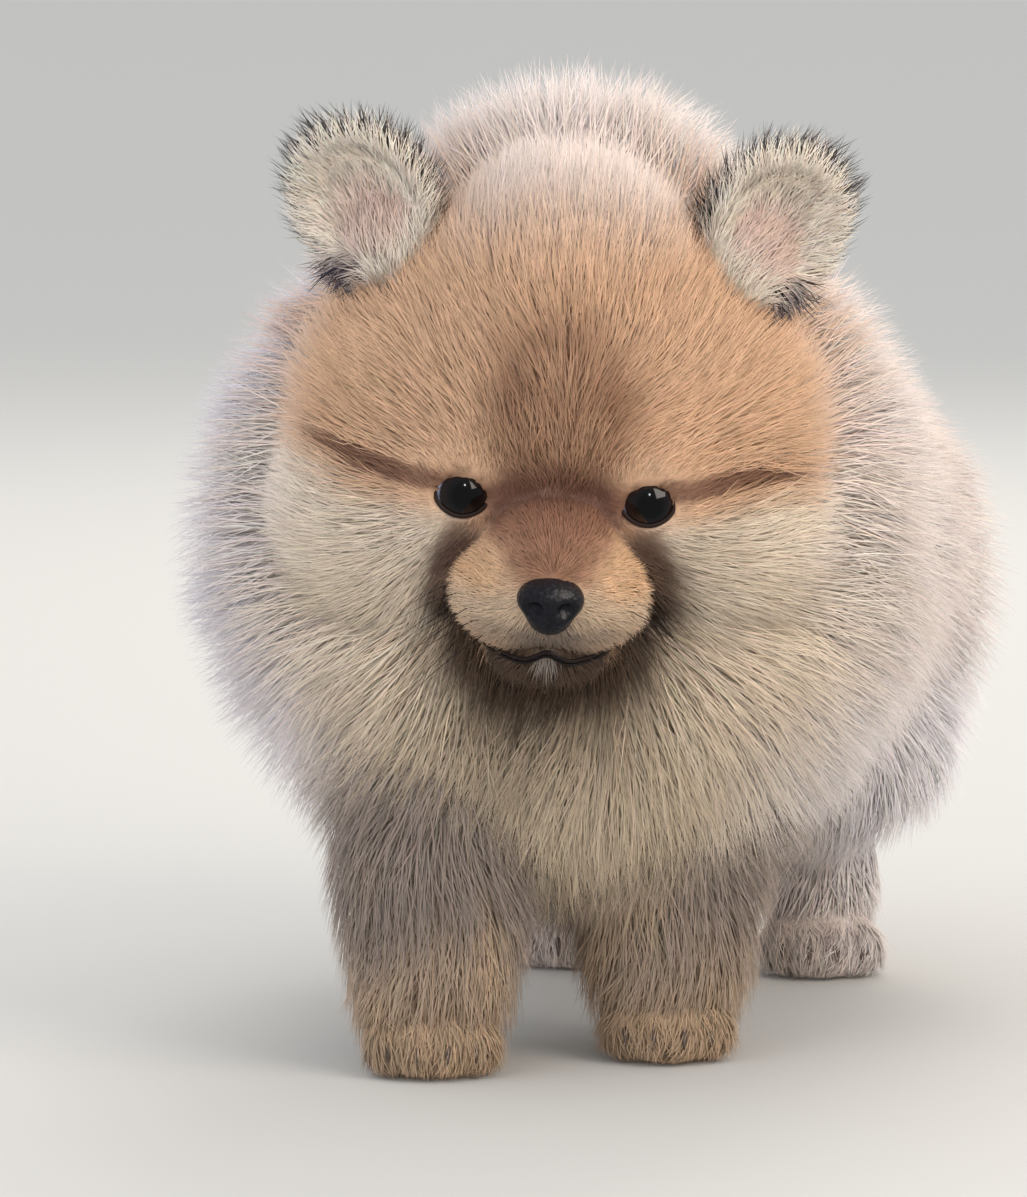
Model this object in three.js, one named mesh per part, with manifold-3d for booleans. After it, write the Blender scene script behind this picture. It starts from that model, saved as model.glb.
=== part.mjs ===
// A Pomeranian puppy, standing with its head low, at life size, in millimetres. +Z is up and the
// face looks along -Y. The back is turned a little towards the puppy's own left, which is +X.
// Each region of the body is a few ellipsoids blended together. An ellipsoid has the radii of the
// flesh and the depth of the coat over it: the core of a node fills part of that depth, and flat
// locks rooted in the core reach the tips of the coat.
import * as THREE from "three";
import { mergeVertices } from "three/addons/utils/BufferGeometryUtils.js";
import Module from "manifold-3d";

const wasm = await Module();
wasm.setup();

// Driving sizes
const EYE_SPACING = 37; // between the middles of the eyes
const EYE_RADIUS = 7;
const NOSE_WIDTH = 13.6;
const PAW_WIDTH = 28;
const HEAD_MIDDLE = [0.5, -30, 132]; // middle of the skull
const HEAD_PITCH = 21; // degrees that the face is lowered
const HEAD_ROLL = 3; // degrees that the crown leans to +X
const RUMP_MIDDLE = [32, 113, 92];
const BODY_YAW = 13; // degrees that the back is turned to +X
const FORELEG_RIGHT = [-25, -12];
const FORELEG_LEFT = [24, 6];
const HINDLEG_SPREAD = 29; // of each hind leg from the middle line
const GAP = 0.35; // between nodes that touch
const CORE_SHARE = 0.5; // of the coat's depth, filled by the solid core
const TIP_SHARES = [1.12, 1.22]; // of the coat's depth, reached by the tips of the locks
const ROOT_DEPTH = 4; // that a lock is sunk in the core
const LOCK_MARGIN = { wide: 7, deep: 2.4, long: 4 }; // of a lock's sharp edges, for each millimetre of gap
const LOCK_SIDES = 3;
const FINEST = 0.08; // detail that a surface keeps

const at = (x, y, z) => new THREE.Vector3(x, y, z);
const radians = THREE.MathUtils.degToRad;
const SIDES = { left: 1, right: -1 };
const bothSides = (make) => Object.values(SIDES).map(make);

// Poses of the head and of the hindquarters
const headPose = new THREE.Matrix4().compose(
  at(...HEAD_MIDDLE),
  new THREE.Quaternion().setFromEuler(new THREE.Euler(radians(HEAD_PITCH), radians(HEAD_ROLL), 0, "YXZ")),
  at(1, 1, 1),
);
const rumpPose = new THREE.Matrix4().compose(
  at(...RUMP_MIDDLE),
  new THREE.Quaternion().setFromEuler(new THREE.Euler(0, 0, radians(-BODY_YAW))),
  at(1, 1, 1),
);
const standing = new THREE.Matrix4();

// Repeatable random numbers from 0 to 1
function randomFrom(seed) {
  let state = seed;
  return () => {
    state = (state * 1664525 + 1013904223) % 4294967296;
    return state / 4294967296;
  };
}

// Ellipsoid of flesh with the depth of the coat on each axis; hollow ones are taken away
function form(middle, flesh, coat = [0, 0, 0], hollow = false) {
  return { middle: at(...middle), flesh, coat, hollow };
}

// Rough distance from a point to an ellipsoid with part of its coat on, below 0 inside
function distanceTo(shape, point, share) {
  const p = point.clone().sub(shape.middle).toArray();
  const radii = shape.flesh.map((size, i) => size + share * shape.coat[i]);
  const near = Math.hypot(...p.map((value, i) => value / radii[i]));
  const steep = Math.hypot(...p.map((value, i) => value / radii[i] ** 2));
  return steep < 1e-9 ? -Math.min(...radii) : (near * (near - 1)) / steep;
}

// Distance from a point to the whole region, its ellipsoids blended over `soft` millimetres
function regionDistance(region, point, share) {
  let all = Infinity;
  for (const shape of region.shapes) {
    const one = distanceTo(shape, point, share);
    const sign = shape.hollow ? -1 : 1;
    const [a, b] = [sign * all, one];
    const meet = Number.isFinite(a) ? Math.max(region.soft - Math.abs(a - b), 0) / region.soft : 0;
    all = sign * (Math.min(a, b) - (meet ** 2 * region.soft) / 4);
  }
  return all;
}

// Outermost point of a region along a direction from its middle
function surfacePoint(region, direction, share, grow = 0) {
  const point = at(0, 0, 0);
  let reach = region.reach ?? 130;
  for (let step = 0; step < 90; step += 1) {
    point.copy(region.middle).addScaledVector(direction, reach);
    const gap = regionDistance(region, point, share) - grow;
    if (Math.abs(gap) < 0.01) break;
    reach = Math.max(reach - 0.75 * gap, 0.5);
  }
  return point;
}

// Outward normal of a region's surface
function normalAt(region, point, share) {
  const nudge = 0.2;
  const slope = [at(nudge, 0, 0), at(0, nudge, 0), at(0, 0, nudge)].map(
    (step) => regionDistance(region, point.clone().add(step), share)
      - regionDistance(region, point.clone().sub(step), share),
  );
  return at(...slope).normalize();
}

// Solid from a closed geometry
function toSolid(geometry) {
  const bare = new THREE.BufferGeometry().setAttribute("position", geometry.getAttribute("position"));
  if (geometry.index) bare.setIndex(geometry.index);
  const merged = mergeVertices(bare, 1e-4);
  const mesh = new wasm.Mesh({
    numProp: 3,
    vertProperties: new Float32Array(merged.getAttribute("position").array),
    triVerts: new Uint32Array(merged.index.array),
  });
  return new wasm.Manifold(mesh);
}

// Closed round body: a fine ball of triangles drawn in to a region's surface. `lean` crowds the
// triangles towards one side, and `floor` flattens what is below that height.
function roundBody(region, { share = CORE_SHARE, grow = 0, detail = 5, lean = at(0, 0, 0), floor } = {}) {
  const ball = mergeVertices(
    new THREE.BufferGeometry().setAttribute(
      "position", new THREE.IcosahedronGeometry(1, detail).getAttribute("position"),
    ),
    1e-4,
  );
  const places = ball.getAttribute("position");
  for (let i = 0; i < places.count; i += 1) {
    const direction = at(places.getX(i), places.getY(i), places.getZ(i)).add(lean).normalize();
    const point = surfacePoint(region, direction, share, grow);
    if (floor !== undefined) point.z = Math.max(point.z, floor);
    places.setXYZ(i, point.x, point.y, point.z);
  }
  return toSolid(ball);
}

// Closed sweep through stations { at, wide, deep }, the half widths along `side` and across it.
// A last station with no width is a point. `wider` and `deeper` are added to every half width.
function sweep(stations, side, sides, wider, deeper = wider) {
  const points = [];
  const faces = [];
  const pointed = stations.at(-1).wide === 0;
  const rings = pointed ? stations.length - 1 : stations.length;
  for (let i = 0; i < rings; i += 1) {
    const next = stations[Math.min(i + 1, stations.length - 1)].at;
    const along = next.clone().sub(stations[Math.max(i - 1, 0)].at).normalize();
    const across = side.clone().addScaledVector(along, -side.dot(along)).normalize();
    const up = along.clone().cross(across);
    for (let k = 0; k < sides; k += 1) {
      const angle = Math.PI / 2 + (2 * Math.PI * k) / sides;
      points.push(stations[i].at.clone()
        .addScaledVector(across, (stations[i].wide + wider) * Math.cos(angle))
        .addScaledVector(up, (stations[i].deep + deeper) * Math.sin(angle)));
    }
  }
  const ring = (i, k) => i * sides + (k % sides);
  for (let k = 0; k < sides; k += 1) {
    for (let i = 0; i + 1 < rings; i += 1) {
      faces.push(ring(i, k), ring(i, k + 1), ring(i + 1, k + 1));
      faces.push(ring(i, k), ring(i + 1, k + 1), ring(i + 1, k));
    }
    if (pointed) faces.push(ring(rings - 1, k), ring(rings - 1, k + 1), points.length);
  }
  if (pointed) points.push(stations.at(-1).at.clone());
  for (let k = 1; k + 1 < sides; k += 1) {
    faces.push(0, k + 1, k);
    if (!pointed) faces.push(ring(rings - 1, 0), ring(rings - 1, k), ring(rings - 1, k + 1));
  }
  return toSolid(new THREE.BufferGeometry().setFromPoints(points).setIndex(faces));
}

// Flat, tapered lock that leaves the core at `root`, bends along the coat and ends at `tip`. Its
// edges are sharp, so a wider one spreads most across the lock.
function lock(root, normal, tip, wide, thick, grow, depth = ROOT_DEPTH) {
  const lie = tip.clone().sub(root);
  const rise = Math.max(lie.dot(normal), 1);
  const start = root.clone().addScaledVector(normal, -depth);
  const bend = root.clone().addScaledVector(lie, 0.35).addScaledVector(normal, 0.35 * rise);
  const path = new THREE.QuadraticBezierCurve3(start, bend, tip);
  const profile = [[0, 0.9, 1], [0.42, 1.15, 1], [0.76, 0.75, 0.6]];
  const stations = profile.map(([share, width, depth]) => ({
    at: path.getPoint(share), wide: wide * width, deep: thick * depth,
  }));
  const end = tip.clone().addScaledVector(lie.normalize(), LOCK_MARGIN.long * grow);
  const [wider, deeper] = [LOCK_MARGIN.wide * grow, LOCK_MARGIN.deep * grow];
  return sweep([...stations, { at: end, wide: 0, deep: 0 }], lie.clone().cross(normal), LOCK_SIDES, wider, deeper);
}

// Locks spread evenly over a region. `coat` says how many, how wide, how far they run, which way
// they lie, and where they grow; each tip is on the outline of the coat further along the lie.
function locksOn(region, coat, grow = 0) {
  const random = randomFrom(coat.seed);
  const made = [];
  const turn = Math.PI * (3 - Math.sqrt(5));
  for (let i = 0; i < coat.count; i += 1) {
    const height = 1 - (2 * (i + 0.5)) / coat.count;
    const round = Math.sqrt(1 - height ** 2);
    const direction = at(round * Math.cos(i * turn), round * Math.sin(i * turn), height)
      .add(coat.crowd ?? at(0, 0, 0)).normalize();
    const [longer, wider, sway, higher] = [random(), random(), random(), random()];
    const root = surfacePoint(region, direction, CORE_SHARE);
    const normal = normalAt(region, root, CORE_SHARE);
    if (!coat.grows(root, normal)) continue;
    const lie = coat.lie(root, normal);
    lie.addScaledVector(normal, -lie.dot(normal)).normalize();
    lie.applyAxisAngle(normal, (sway - 0.5) * 0.5);
    const ahead = root.clone().addScaledVector(lie, coat.run * (0.85 + 0.3 * longer));
    const share = THREE.MathUtils.lerp(...TIP_SHARES, higher);
    const tip = surfacePoint(region, ahead.sub(region.middle).normalize(), share);
    if (coat.lowest !== undefined) tip.z = Math.max(tip.z, coat.lowest);
    made.push(lock(root, normal, tip, (coat.wide / 2) * (0.85 + 0.3 * wider), coat.thick / 2, grow));
  }
  return made;
}

// Whether a point given in one pose is clear of the cores of other regions
function clearOf(pose, others, margin = 1) {
  return (point) => others.every((other) => {
    const inside = point.clone().applyMatrix4(pose).applyMatrix4(other.pose.clone().invert());
    return regionDistance(other, inside, CORE_SHARE) > margin;
  });
}

// Head, in its own frame: the middle of the skull at 0, the face along -Y
const eyeAt = (side) => at((side * EYE_SPACING) / 2, -20.5, -2);
const headForm = {
  pose: headPose,
  middle: at(0, 8, 2),
  soft: 9,
  shapes: [
    form([0, 5, 4], [30, 27, 24], [27, 13, 12]),
    form([0, 6, 18], [20, 24, 15], [15, 12, 28]),
    ...bothSides((side) => form([side * 24, 0, -17], [13, 17, 13], [22, 10, 13])),
    form([0, 2, -22], [16, 18, 12], [18, 6, 12]),
    form([0, -50, -10], [30, 27, 15], [0, 0, 0], true),
    ...bothSides((side) => form([(side * EYE_SPACING) / 2, -37, -2], [9, 13.5, 7.5], [0, 0, 0], true)),
    ...bothSides((side) => form([(side * EYE_SPACING) / 2, -17, -2], [11, 9, 10])),
  ],
};
const muzzleForm = {
  pose: headPose,
  middle: at(0, -29, -14),
  soft: 5,
  reach: 50,
  shapes: [
    form([0, -27, -8], [9.5, 17, 8], [3, 1, 1]),
    ...bothSides((side) => form([side * 7, -30, -18.5], [9, 13, 10], [4, 1, 1.5])),
    form([0, -38, -14], [8, 7, 8], [1, 0.5, 1]),
  ],
};
const jawForm = {
  pose: headPose,
  middle: at(0, -28, -30),
  soft: 5,
  reach: 40,
  shapes: [form([0, -27, -30], [10.5, 13, 6], [3, 1, 1.5])],
};
const noseSize = NOSE_WIDTH / 13.6;
const noseForm = {
  pose: headPose,
  middle: at(0, -44, -14),
  soft: 1.5,
  reach: 20,
  shapes: [
    form([0, -45, -13], [6.7, 5.2, 4.6].map((r) => r * noseSize)),
    form([0, -45.5, -16], [4.6, 4.2, 4.2].map((r) => r * noseSize)),
    ...bothSides((side) => form([side * 3.3 * noseSize, -50, -13.4], [1.9, 2.4, 1.5], [0, 0, 0], true)),
    form([0, -51.5, -17], [0.7, 2.4, 4], [0, 0, 0], true),
  ],
};
const eyeForm = (side) => ({
  pose: headPose,
  middle: eyeAt(side),
  soft: 1,
  reach: 12,
  shapes: [form(eyeAt(side).toArray(), [EYE_RADIUS, EYE_RADIUS, EYE_RADIUS])],
});

// Ear, in a frame of its own: it opens along -Y and its tip is up
const earForm = (side) => ({
  pose: headPose.clone().multiply(new THREE.Matrix4().compose(
    at(side * 41, 12, 45),
    new THREE.Quaternion().setFromEuler(new THREE.Euler(0, radians(side * 27), radians(side * 14), "ZYX")),
    at(1, 1, 1),
  )),
  middle: at(0, 0, -2),
  soft: 3,
  reach: 40,
  shapes: [form([0, 0, -1], [13, 4, 16], [1.5, 1, 1.5]), form([0, 1, -15], [10, 7, 12], [2, 1, 2])],
});
const earCup = { middle: at(0, -6, 1), soft: 1, reach: 30, shapes: [form([0, -6, 1], [10.5, 7.5, 13])] };

// Trunk, tail and legs
const neckForm = {
  pose: standing,
  middle: at(3, 6, 118),
  soft: 14,
  shapes: [
    form([3, 6, 110], [33, 38, 40], [48, 20, 40]),
    form([4, 4, 158], [20, 22, 16], [23, 22, 33]),
  ],
};
const torsoForm = {
  pose: standing,
  middle: at(16, 55, 104),
  soft: 12,
  shapes: [form([16, 55, 104], [36, 46, 34], [38, 18, 30])],
};
const rumpForm = {
  pose: rumpPose,
  middle: at(0, 0, 0),
  soft: 12,
  shapes: [form([0, 0, 0], [34, 34, 33], [36, 20, 27])],
};
const tailForm = {
  pose: rumpPose,
  middle: at(0, 28, 52),
  soft: 10,
  shapes: [
    form([0, 36, 32], [5, 6, 14], [10, 8, 6]),
    form([0, 32, 62], [5, 12, 8], [18, 14, 14]),
    form([0, 4, 68], [5, 16, 4], [18, 14, 14]),
  ],
};
const foreleg = (x, y) => ({
  pose: standing,
  middle: at(x, y, 34),
  soft: 8,
  shapes: [form([x, y, 46], [10, 11, 30], [13, 12, 6]), form([x, y, 21], [8.5, 8.5, 18], [9, 9, 2])],
});
const hindleg = (side) => ({
  pose: rumpPose,
  middle: at(side * HINDLEG_SPREAD, 0, -44),
  soft: 8,
  shapes: [
    form([side * HINDLEG_SPREAD, -2, -32], [15, 20, 22], [20, 14, 8]),
    form([side * HINDLEG_SPREAD, 8, -68], [8, 9, 21], [6, 6, 1]),
  ],
});

// Paw with four toes, its pad on the floor at (x, y)
function pawForm(x, y) {
  const size = PAW_WIDTH / 28;
  const toes = [-9, -3.2, 3.2, 9].map((across) => form(
    [x + across * size, y - (Math.abs(across) > 5 ? 8 : 11.5) * size, 6],
    [4.2, 7, 6.4].map((r) => r * size),
    [0.6, 0.6, 0.4],
  ));
  const pad = form([x, y, 8], [11 * size, 12 * size, 10], [1.2, 1.2, 0.5]);
  return { pose: standing, middle: at(x, y - 3, 7), soft: 2, reach: 40, shapes: [pad, ...toes] };
}

// Claws, short curved cones at the tips of the toes
function claws(paw, grow) {
  return paw.shapes.slice(1).map((toe) => {
    const root = toe.middle.clone().add(at(0, -toe.flesh[1] + 1, 1));
    const path = new THREE.QuadraticBezierCurve3(
      root, root.clone().add(at(0, -3.6, 0.4)), root.clone().add(at(0, -5, -3)),
    );
    const stations = [0, 0.4, 0.75, 1].map((share) => ({
      at: path.getPoint(share),
      wide: share === 1 ? 0 : 1.1 * (1 - 0.6 * share),
      deep: 1.4 * (1 - 0.6 * share),
    }));
    return sweep(stations, at(1, 0, 0), 4, 1.5 * grow);
  });
}

// Round cord of flesh along points, for lips and lids
function rim(points, radius, grow, steps = 6) {
  const path = new THREE.CatmullRomCurve3(points);
  const stations = Array.from({ length: steps + 1 }, (_, i) => {
    const taper = radius * (0.55 + 0.45 * Math.sin((Math.PI * i) / steps));
    return { at: path.getPoint(i / steps), wide: taper, deep: taper };
  });
  return sweep(stations, at(0, 0.2, 1), 5, 1.3 * grow);
}

// Upper and lower lid, lying on the ball of the eye from corner to corner
function lids(side, grow) {
  const eye = eyeAt(side);
  const [halfWidth, halfHeight] = [6.2, 5.1];
  return [1, -1].map((up) => rim([-1, -0.6, 0, 0.6, 1].map((across) => {
    const x = across * halfWidth;
    const z = up * halfHeight * Math.sqrt(1 - across ** 2);
    return eye.clone().add(at(x, -Math.sqrt((EYE_RADIUS + 0.2) ** 2 - x ** 2 - z ** 2), z));
  }), 1.3, grow));
}

// Line of the mouth: `drop` and `back` part the lower lip from the upper one
function lip(drop, back, radius, grow) {
  const line = [[-16.5, -22, -26.5], [-12.5, -33, -28.5], [-5, -41, -28], [0, -42.5, -25.5]];
  const mirrored = line.slice(0, -1).reverse().map(([x, y, z]) => [-x, y, z]);
  return rim([...line, ...mirrored].map(([x, y, z]) => at(x, y + back, z - drop)), radius, grow, 10);
}

// Which way the coat lies: out from the face on the head and ruff, back and down on the body
const faceMiddle = at(0, -40, -8);
const faceInWorld = faceMiddle.clone().applyMatrix4(headPose);
const headLie = (point) => point.clone().sub(faceMiddle).setLength(1).add(at(0, 0.2, 0.1));
const ruffLie = (point) => point.clone().sub(faceInWorld).setLength(1).add(at(0, 0.3, -0.45));
const backwards = () => at(Math.sin(radians(BODY_YAW)), 1, -0.7);
const overRump = () => at(0, 1, -0.8);
const downwards = () => at(0, 0.3, -1);
const offTail = (point) => point.clone().sub(at(0, 20, 36)).add(at(0, -20, 0));

// Coats: number, width, thickness and run of the locks
const headCoat = { seed: 11, count: 40, wide: 17, thick: 3.6, run: 22, lie: headLie, crowd: at(0, -0.3, 0) };
const neckCoat = { seed: 23, count: 56, wide: 27, thick: 5, run: 34, lie: ruffLie, crowd: at(0, -0.3, 0) };
const torsoCoat = { seed: 37, count: 32, wide: 29, thick: 5, run: 36, lie: backwards };
const rumpCoat = { seed: 41, count: 25, wide: 29, thick: 5, run: 32, lie: overRump };
const tailCoat = { seed: 53, count: 12, wide: 19, thick: 4, run: 20, lie: offTail };
const forelegCoat = { seed: 67, count: 11, wide: 15, thick: 3.4, run: 18, lie: downwards, lowest: 2.5 };
const hindlegCoat = { seed: 73, count: 18, wide: 19, thick: 3.8, run: 20, lie: downwards, lowest: 2.5 };

// Locks round the rim of an ear, from its inner edge over the tip to its outer edge
function fringe(ear, side, grow) {
  const random = randomFrom(71);
  return Array.from({ length: 7 }, (_, i) => {
    const angle = radians(-20 + 34 * i);
    const out = at(-side * Math.cos(angle), 0.12, Math.sin(angle));
    const root = surfacePoint(ear, out.clone().normalize(), 1);
    const tip = root.clone().addScaledVector(out, 6 + 3 * random()).add(at(side * 2, 1.5, -1));
    return lock(root, out.clone().add(at(0, 0.5, 0)).normalize(), tip, 6.4, 1.2, grow, 2.2);
  });
}

const skins = {
  coat: { color: 0xd0ab7c, roughness: 0.95 },
  pale: { color: 0xdccbb9, roughness: 0.95 },
  taupe: { color: 0x8c7460, roughness: 0.95 },
  paw: { color: 0xa98466, roughness: 0.95 },
  muzzle: { color: 0xb98650, roughness: 0.9 },
  jaw: { color: 0x4a3128, roughness: 0.85 },
  leather: { color: 0x1c1a26, roughness: 0.35 },
  eye: { color: 0x0a0a10, roughness: 0.05 },
};

const union = (solids) => wasm.Manifold.union(solids);
const moved = (solid, matrix) => solid.transform(matrix.toArray());
const model = new THREE.Group();
const cutters = new Map();

// Adds a node. `build` gives its closed pieces in the frame of `pose`, wider by `grow`; what its
// neighbours fill, and a gap around them, is cut away, and the largest closed body is kept.
function addNode(name, skin, pose, build, neighbours = []) {
  const [whole, wider] = [0, GAP].map((grow) => moved(union(build(grow)), pose));
  cutters.set(name, wider);
  const around = neighbours.map((other) => cutters.get(other));
  const cut = around.length ? whole.simplify(FINEST).subtract(union(around)) : whole;
  const largest = cut.decompose().reduce((a, b) => (a.volume() > b.volume() ? a : b));
  const { vertProperties, triVerts } = moved(largest.simplify(FINEST / 4), pose.clone().invert()).getMesh();
  const geometry = new THREE.BufferGeometry();
  geometry.setAttribute("position", new THREE.BufferAttribute(new Float32Array(vertProperties), 3));
  geometry.setIndex(new THREE.BufferAttribute(new Uint32Array(triVerts), 1));
  geometry.computeVertexNormals();
  const mesh = new THREE.Mesh(geometry, new THREE.MeshStandardMaterial({ metalness: 0, ...skins[skin] }));
  mesh.name = name;
  const frame = new THREE.Group();
  pose.decompose(frame.position, frame.quaternion, frame.scale);
  frame.add(mesh);
  model.add(frame);
}

// Core of a region with its locks, which grow where the cores of `others` leave it bare
function coated(region, options, coat, others = []) {
  const bare = clearOf(region.pose, others);
  return (grow) => [
    roundBody(region, { ...options, grow }),
    ...locksOn(region, { grows: bare, ...coat }, grow),
  ];
}

for (const [name, side] of Object.entries(SIDES)) {
  addNode(`eye_${name}`, "eye", headPose, (grow) => [roundBody(eyeForm(side), { grow, detail: 2 })]);
}
addNode("nose", "leather", headPose, (grow) => [roundBody(noseForm, { grow, detail: 3 })]);
addNode("muzzle", "muzzle", headPose, (grow) => [
  roundBody(muzzleForm, { grow, detail: 3 }), lip(0, 0, 1.3, grow),
], ["nose"]);
addNode("jaw", "jaw", headPose, (grow) => [
  roundBody(jawForm, { grow, detail: 2 }), lip(3, 1.2, 1.1, grow),
], ["muzzle"]);
for (const [name, side] of Object.entries(SIDES)) {
  const ear = earForm(side);
  addNode(`ear_${name}`, "pale", ear.pose, (grow) => [
    roundBody(ear, { grow, detail: 3, share: 1 }).subtract(roundBody(earCup, { grow: -grow, detail: 2 })),
    ...fringe(ear, side, grow),
  ]);
}
const faceNodes = ["eye_left", "eye_right", "nose", "muzzle", "jaw", "ear_left", "ear_right"];
addNode("head", "coat", headPose, (grow) => [
  ...coated(headForm, { detail: 6, lean: at(0, -0.25, 0) }, headCoat, [muzzleForm, jawForm, neckForm])(grow),
  ...bothSides((side) => lids(side, grow)).flat(),
], faceNodes);
const upTo = ["head", ...faceNodes];
addNode("neck", "pale", standing, coated(neckForm, { detail: 3 }, neckCoat, [headForm, torsoForm]), upTo);
addNode("torso", "coat", standing, coated(torsoForm, { detail: 2 }, torsoCoat, [neckForm, rumpForm]),
  [...upTo, "neck"]);
addNode("rump", "pale", rumpPose, coated(rumpForm, { detail: 2 }, rumpCoat, [torsoForm]), ["torso", "neck", "head"]);
addNode("tail", "coat", rumpPose, coated(tailForm, { detail: 2 }, tailCoat, [rumpForm]),
  ["rump", "torso", "neck", "head"]);

const forelegs = { left: FORELEG_LEFT, right: FORELEG_RIGHT };
for (const [name, [x, y]] of Object.entries(forelegs)) {
  const paw = pawForm(x, y);
  addNode(`forepaw_${name}`, "paw", standing, (grow) => [
    roundBody(paw, { grow, detail: 3, floor: 0 }), ...claws(paw, grow),
  ]);
}
for (const [name, side] of Object.entries(SIDES)) {
  const foot = at(side * HINDLEG_SPREAD, 6, 0).applyMatrix4(rumpPose);
  const paw = pawForm(foot.x, foot.y);
  addNode(`hindpaw_${name}`, "paw", standing, (grow) => [
    roundBody(paw, { grow, detail: 3, floor: 0 }), ...claws(paw, grow),
  ]);
}
for (const [name, [x, y]] of Object.entries(forelegs)) {
  addNode(`foreleg_${name}`, "taupe", standing, coated(foreleg(x, y), { detail: 2 }, forelegCoat, [neckForm]),
    [`forepaw_${name}`, "neck", "torso", ...(name === "right" ? ["foreleg_left"] : [])]);
}
for (const [name, side] of Object.entries(SIDES)) {
  addNode(`hindleg_${name}`, "pale", rumpPose, coated(hindleg(side), { detail: 2 }, hindlegCoat, [rumpForm]),
    [`hindpaw_${name}`, "rump", "torso", "neck", ...(name === "right" ? ["hindleg_left"] : [])]);
}

// The origin is under the middle of the whole, on the floor
const bounds = new THREE.Box3().setFromObject(model, true);
const middle = bounds.getCenter(at(0, 0, 0));
model.position.set(-middle.x, -middle.y, -bounds.min.z);

export default model;
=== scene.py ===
"""A Pomeranian puppy at life size: one skin under a dense coat of tufts, wet eyes and a pebbled nose.

The regions of the body are ellipsoids of flesh with a depth of coat over each. They are given in
millimetres in the puppy's own frame: +Z is up, the face looks along -Y and +X is its own left.
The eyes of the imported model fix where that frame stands.
"""

from __future__ import annotations

import logging
import math
from dataclasses import dataclass, field
from enum import Enum
from typing import Callable

import bmesh
import bpy
import numpy as np
from mathutils import Matrix, Vector, kdtree


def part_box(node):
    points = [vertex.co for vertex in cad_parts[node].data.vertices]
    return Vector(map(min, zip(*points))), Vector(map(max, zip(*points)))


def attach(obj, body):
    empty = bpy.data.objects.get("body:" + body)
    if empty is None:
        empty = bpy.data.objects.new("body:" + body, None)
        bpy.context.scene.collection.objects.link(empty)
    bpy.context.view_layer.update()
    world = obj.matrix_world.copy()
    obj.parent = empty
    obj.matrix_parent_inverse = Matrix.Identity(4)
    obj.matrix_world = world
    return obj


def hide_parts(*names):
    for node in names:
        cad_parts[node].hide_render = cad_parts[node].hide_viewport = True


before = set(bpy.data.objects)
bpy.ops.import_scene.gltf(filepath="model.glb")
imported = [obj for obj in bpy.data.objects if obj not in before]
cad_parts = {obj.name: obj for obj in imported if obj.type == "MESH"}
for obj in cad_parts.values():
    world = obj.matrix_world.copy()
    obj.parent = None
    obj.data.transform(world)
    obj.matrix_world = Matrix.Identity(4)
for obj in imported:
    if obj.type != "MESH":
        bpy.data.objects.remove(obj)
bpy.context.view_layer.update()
LOG = logging.getLogger("pomeranian")
Array = np.ndarray
Shell = tuple[np.ndarray, np.ndarray]
Triple = tuple[float, float, float]
MM = 0.001
BODY = "root"
TRIANGLES_A_PIECE = 190_000
SHELL_STEPS = 70
SHELL_STRIDE = 0.7
SOLE_HEIGHT = 1.5
BAKE_MAP = "OFBake"
COLOUR = "coat_colour"

EYE_RADIUS = 7.0
HEAD_MIDDLE = (0.5, -30.0, 132.0)
HEAD_PITCH = math.radians(21)
HEAD_ROLL = math.radians(3)
RUMP_MIDDLE = (32.0, 113.0, 92.0)
BODY_YAW = math.radians(13)
FORELEGS = {"right": (-25.0, -12.0), "left": (24.0, 6.0)}
HINDLEG_SPREAD = 29.0
TOES = ((-9, 8), (-3.2, 11.5), (3.2, 11.5), (9, 8))
SIDES = {"left": 1.0, "right": -1.0}

HEAD_POSE = np.array(
    Matrix.Translation(HEAD_MIDDLE)
    @ Matrix.Rotation(HEAD_ROLL, 4, "Y")
    @ Matrix.Rotation(HEAD_PITCH, 4, "X")
)
RUMP_POSE = np.array(Matrix.Translation(RUMP_MIDDLE) @ Matrix.Rotation(-BODY_YAW, 4, "Z"))
EYE_LOCAL = np.array((18.5, -20.5, -2.0))
LID_RISE = 2.0
LIDS_LOCAL = EYE_LOCAL + (0, 0, LID_RISE)
NOSE_LOCAL = np.array((0.0, -45.0, -14.0))
CREASE = ((21.5, 2.5), (38.5, 0.9))
EAR_RADII = np.array((13.2, 4.4, 16.5))


def placed(pose: Array, points: Array) -> Array:
    """Points of a posed frame, in the puppy's frame."""
    return points @ pose[:3, :3].T + pose[:3, 3]


def unplaced(pose: Array, points: Array) -> Array:
    """Points of the puppy's frame, in a posed frame."""
    return (points - pose[:3, 3]) @ pose[:3, :3]


def folded(places: Array) -> Array:
    """Places of the puppy's frame, in the head's with its left and right folded together."""
    local = unplaced(HEAD_POSE, places)
    return np.column_stack((np.abs(local[:, 0]), local[:, 1:]))


def frame_shift() -> Array:
    """Where the puppy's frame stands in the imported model, in millimetres, from its left eye."""
    low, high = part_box("eye_left")
    return np.array((low + high) / 2) / MM - placed(HEAD_POSE, EYE_LOCAL[None])[0]


SHIFT = frame_shift()


def to_metres(points: Array) -> Array:
    """Points in the puppy's frame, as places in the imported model."""
    return (points + SHIFT) * MM


def unit(vectors: Array) -> Array:
    """Vectors with a length of 1."""
    return vectors / np.maximum(np.linalg.norm(vectors, axis=-1, keepdims=True), 1e-9)


def smooth(low: float, high: float, value: Array) -> Array:
    """Smooth step from 0 at low to 1 at high, either way round."""
    t = np.clip((value - low) / (high - low), 0, 1)
    return t * t * (3 - 2 * t)


def hex_colour(text: str) -> Array:
    """sRGB hex text as linear red, green and blue."""
    s = np.array([int(text[i : i + 2], 16) / 255 for i in (1, 3, 5)])
    return np.where(s <= 0.04045, s / 12.92, ((s + 0.055) / 1.055) ** 2.4)


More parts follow.
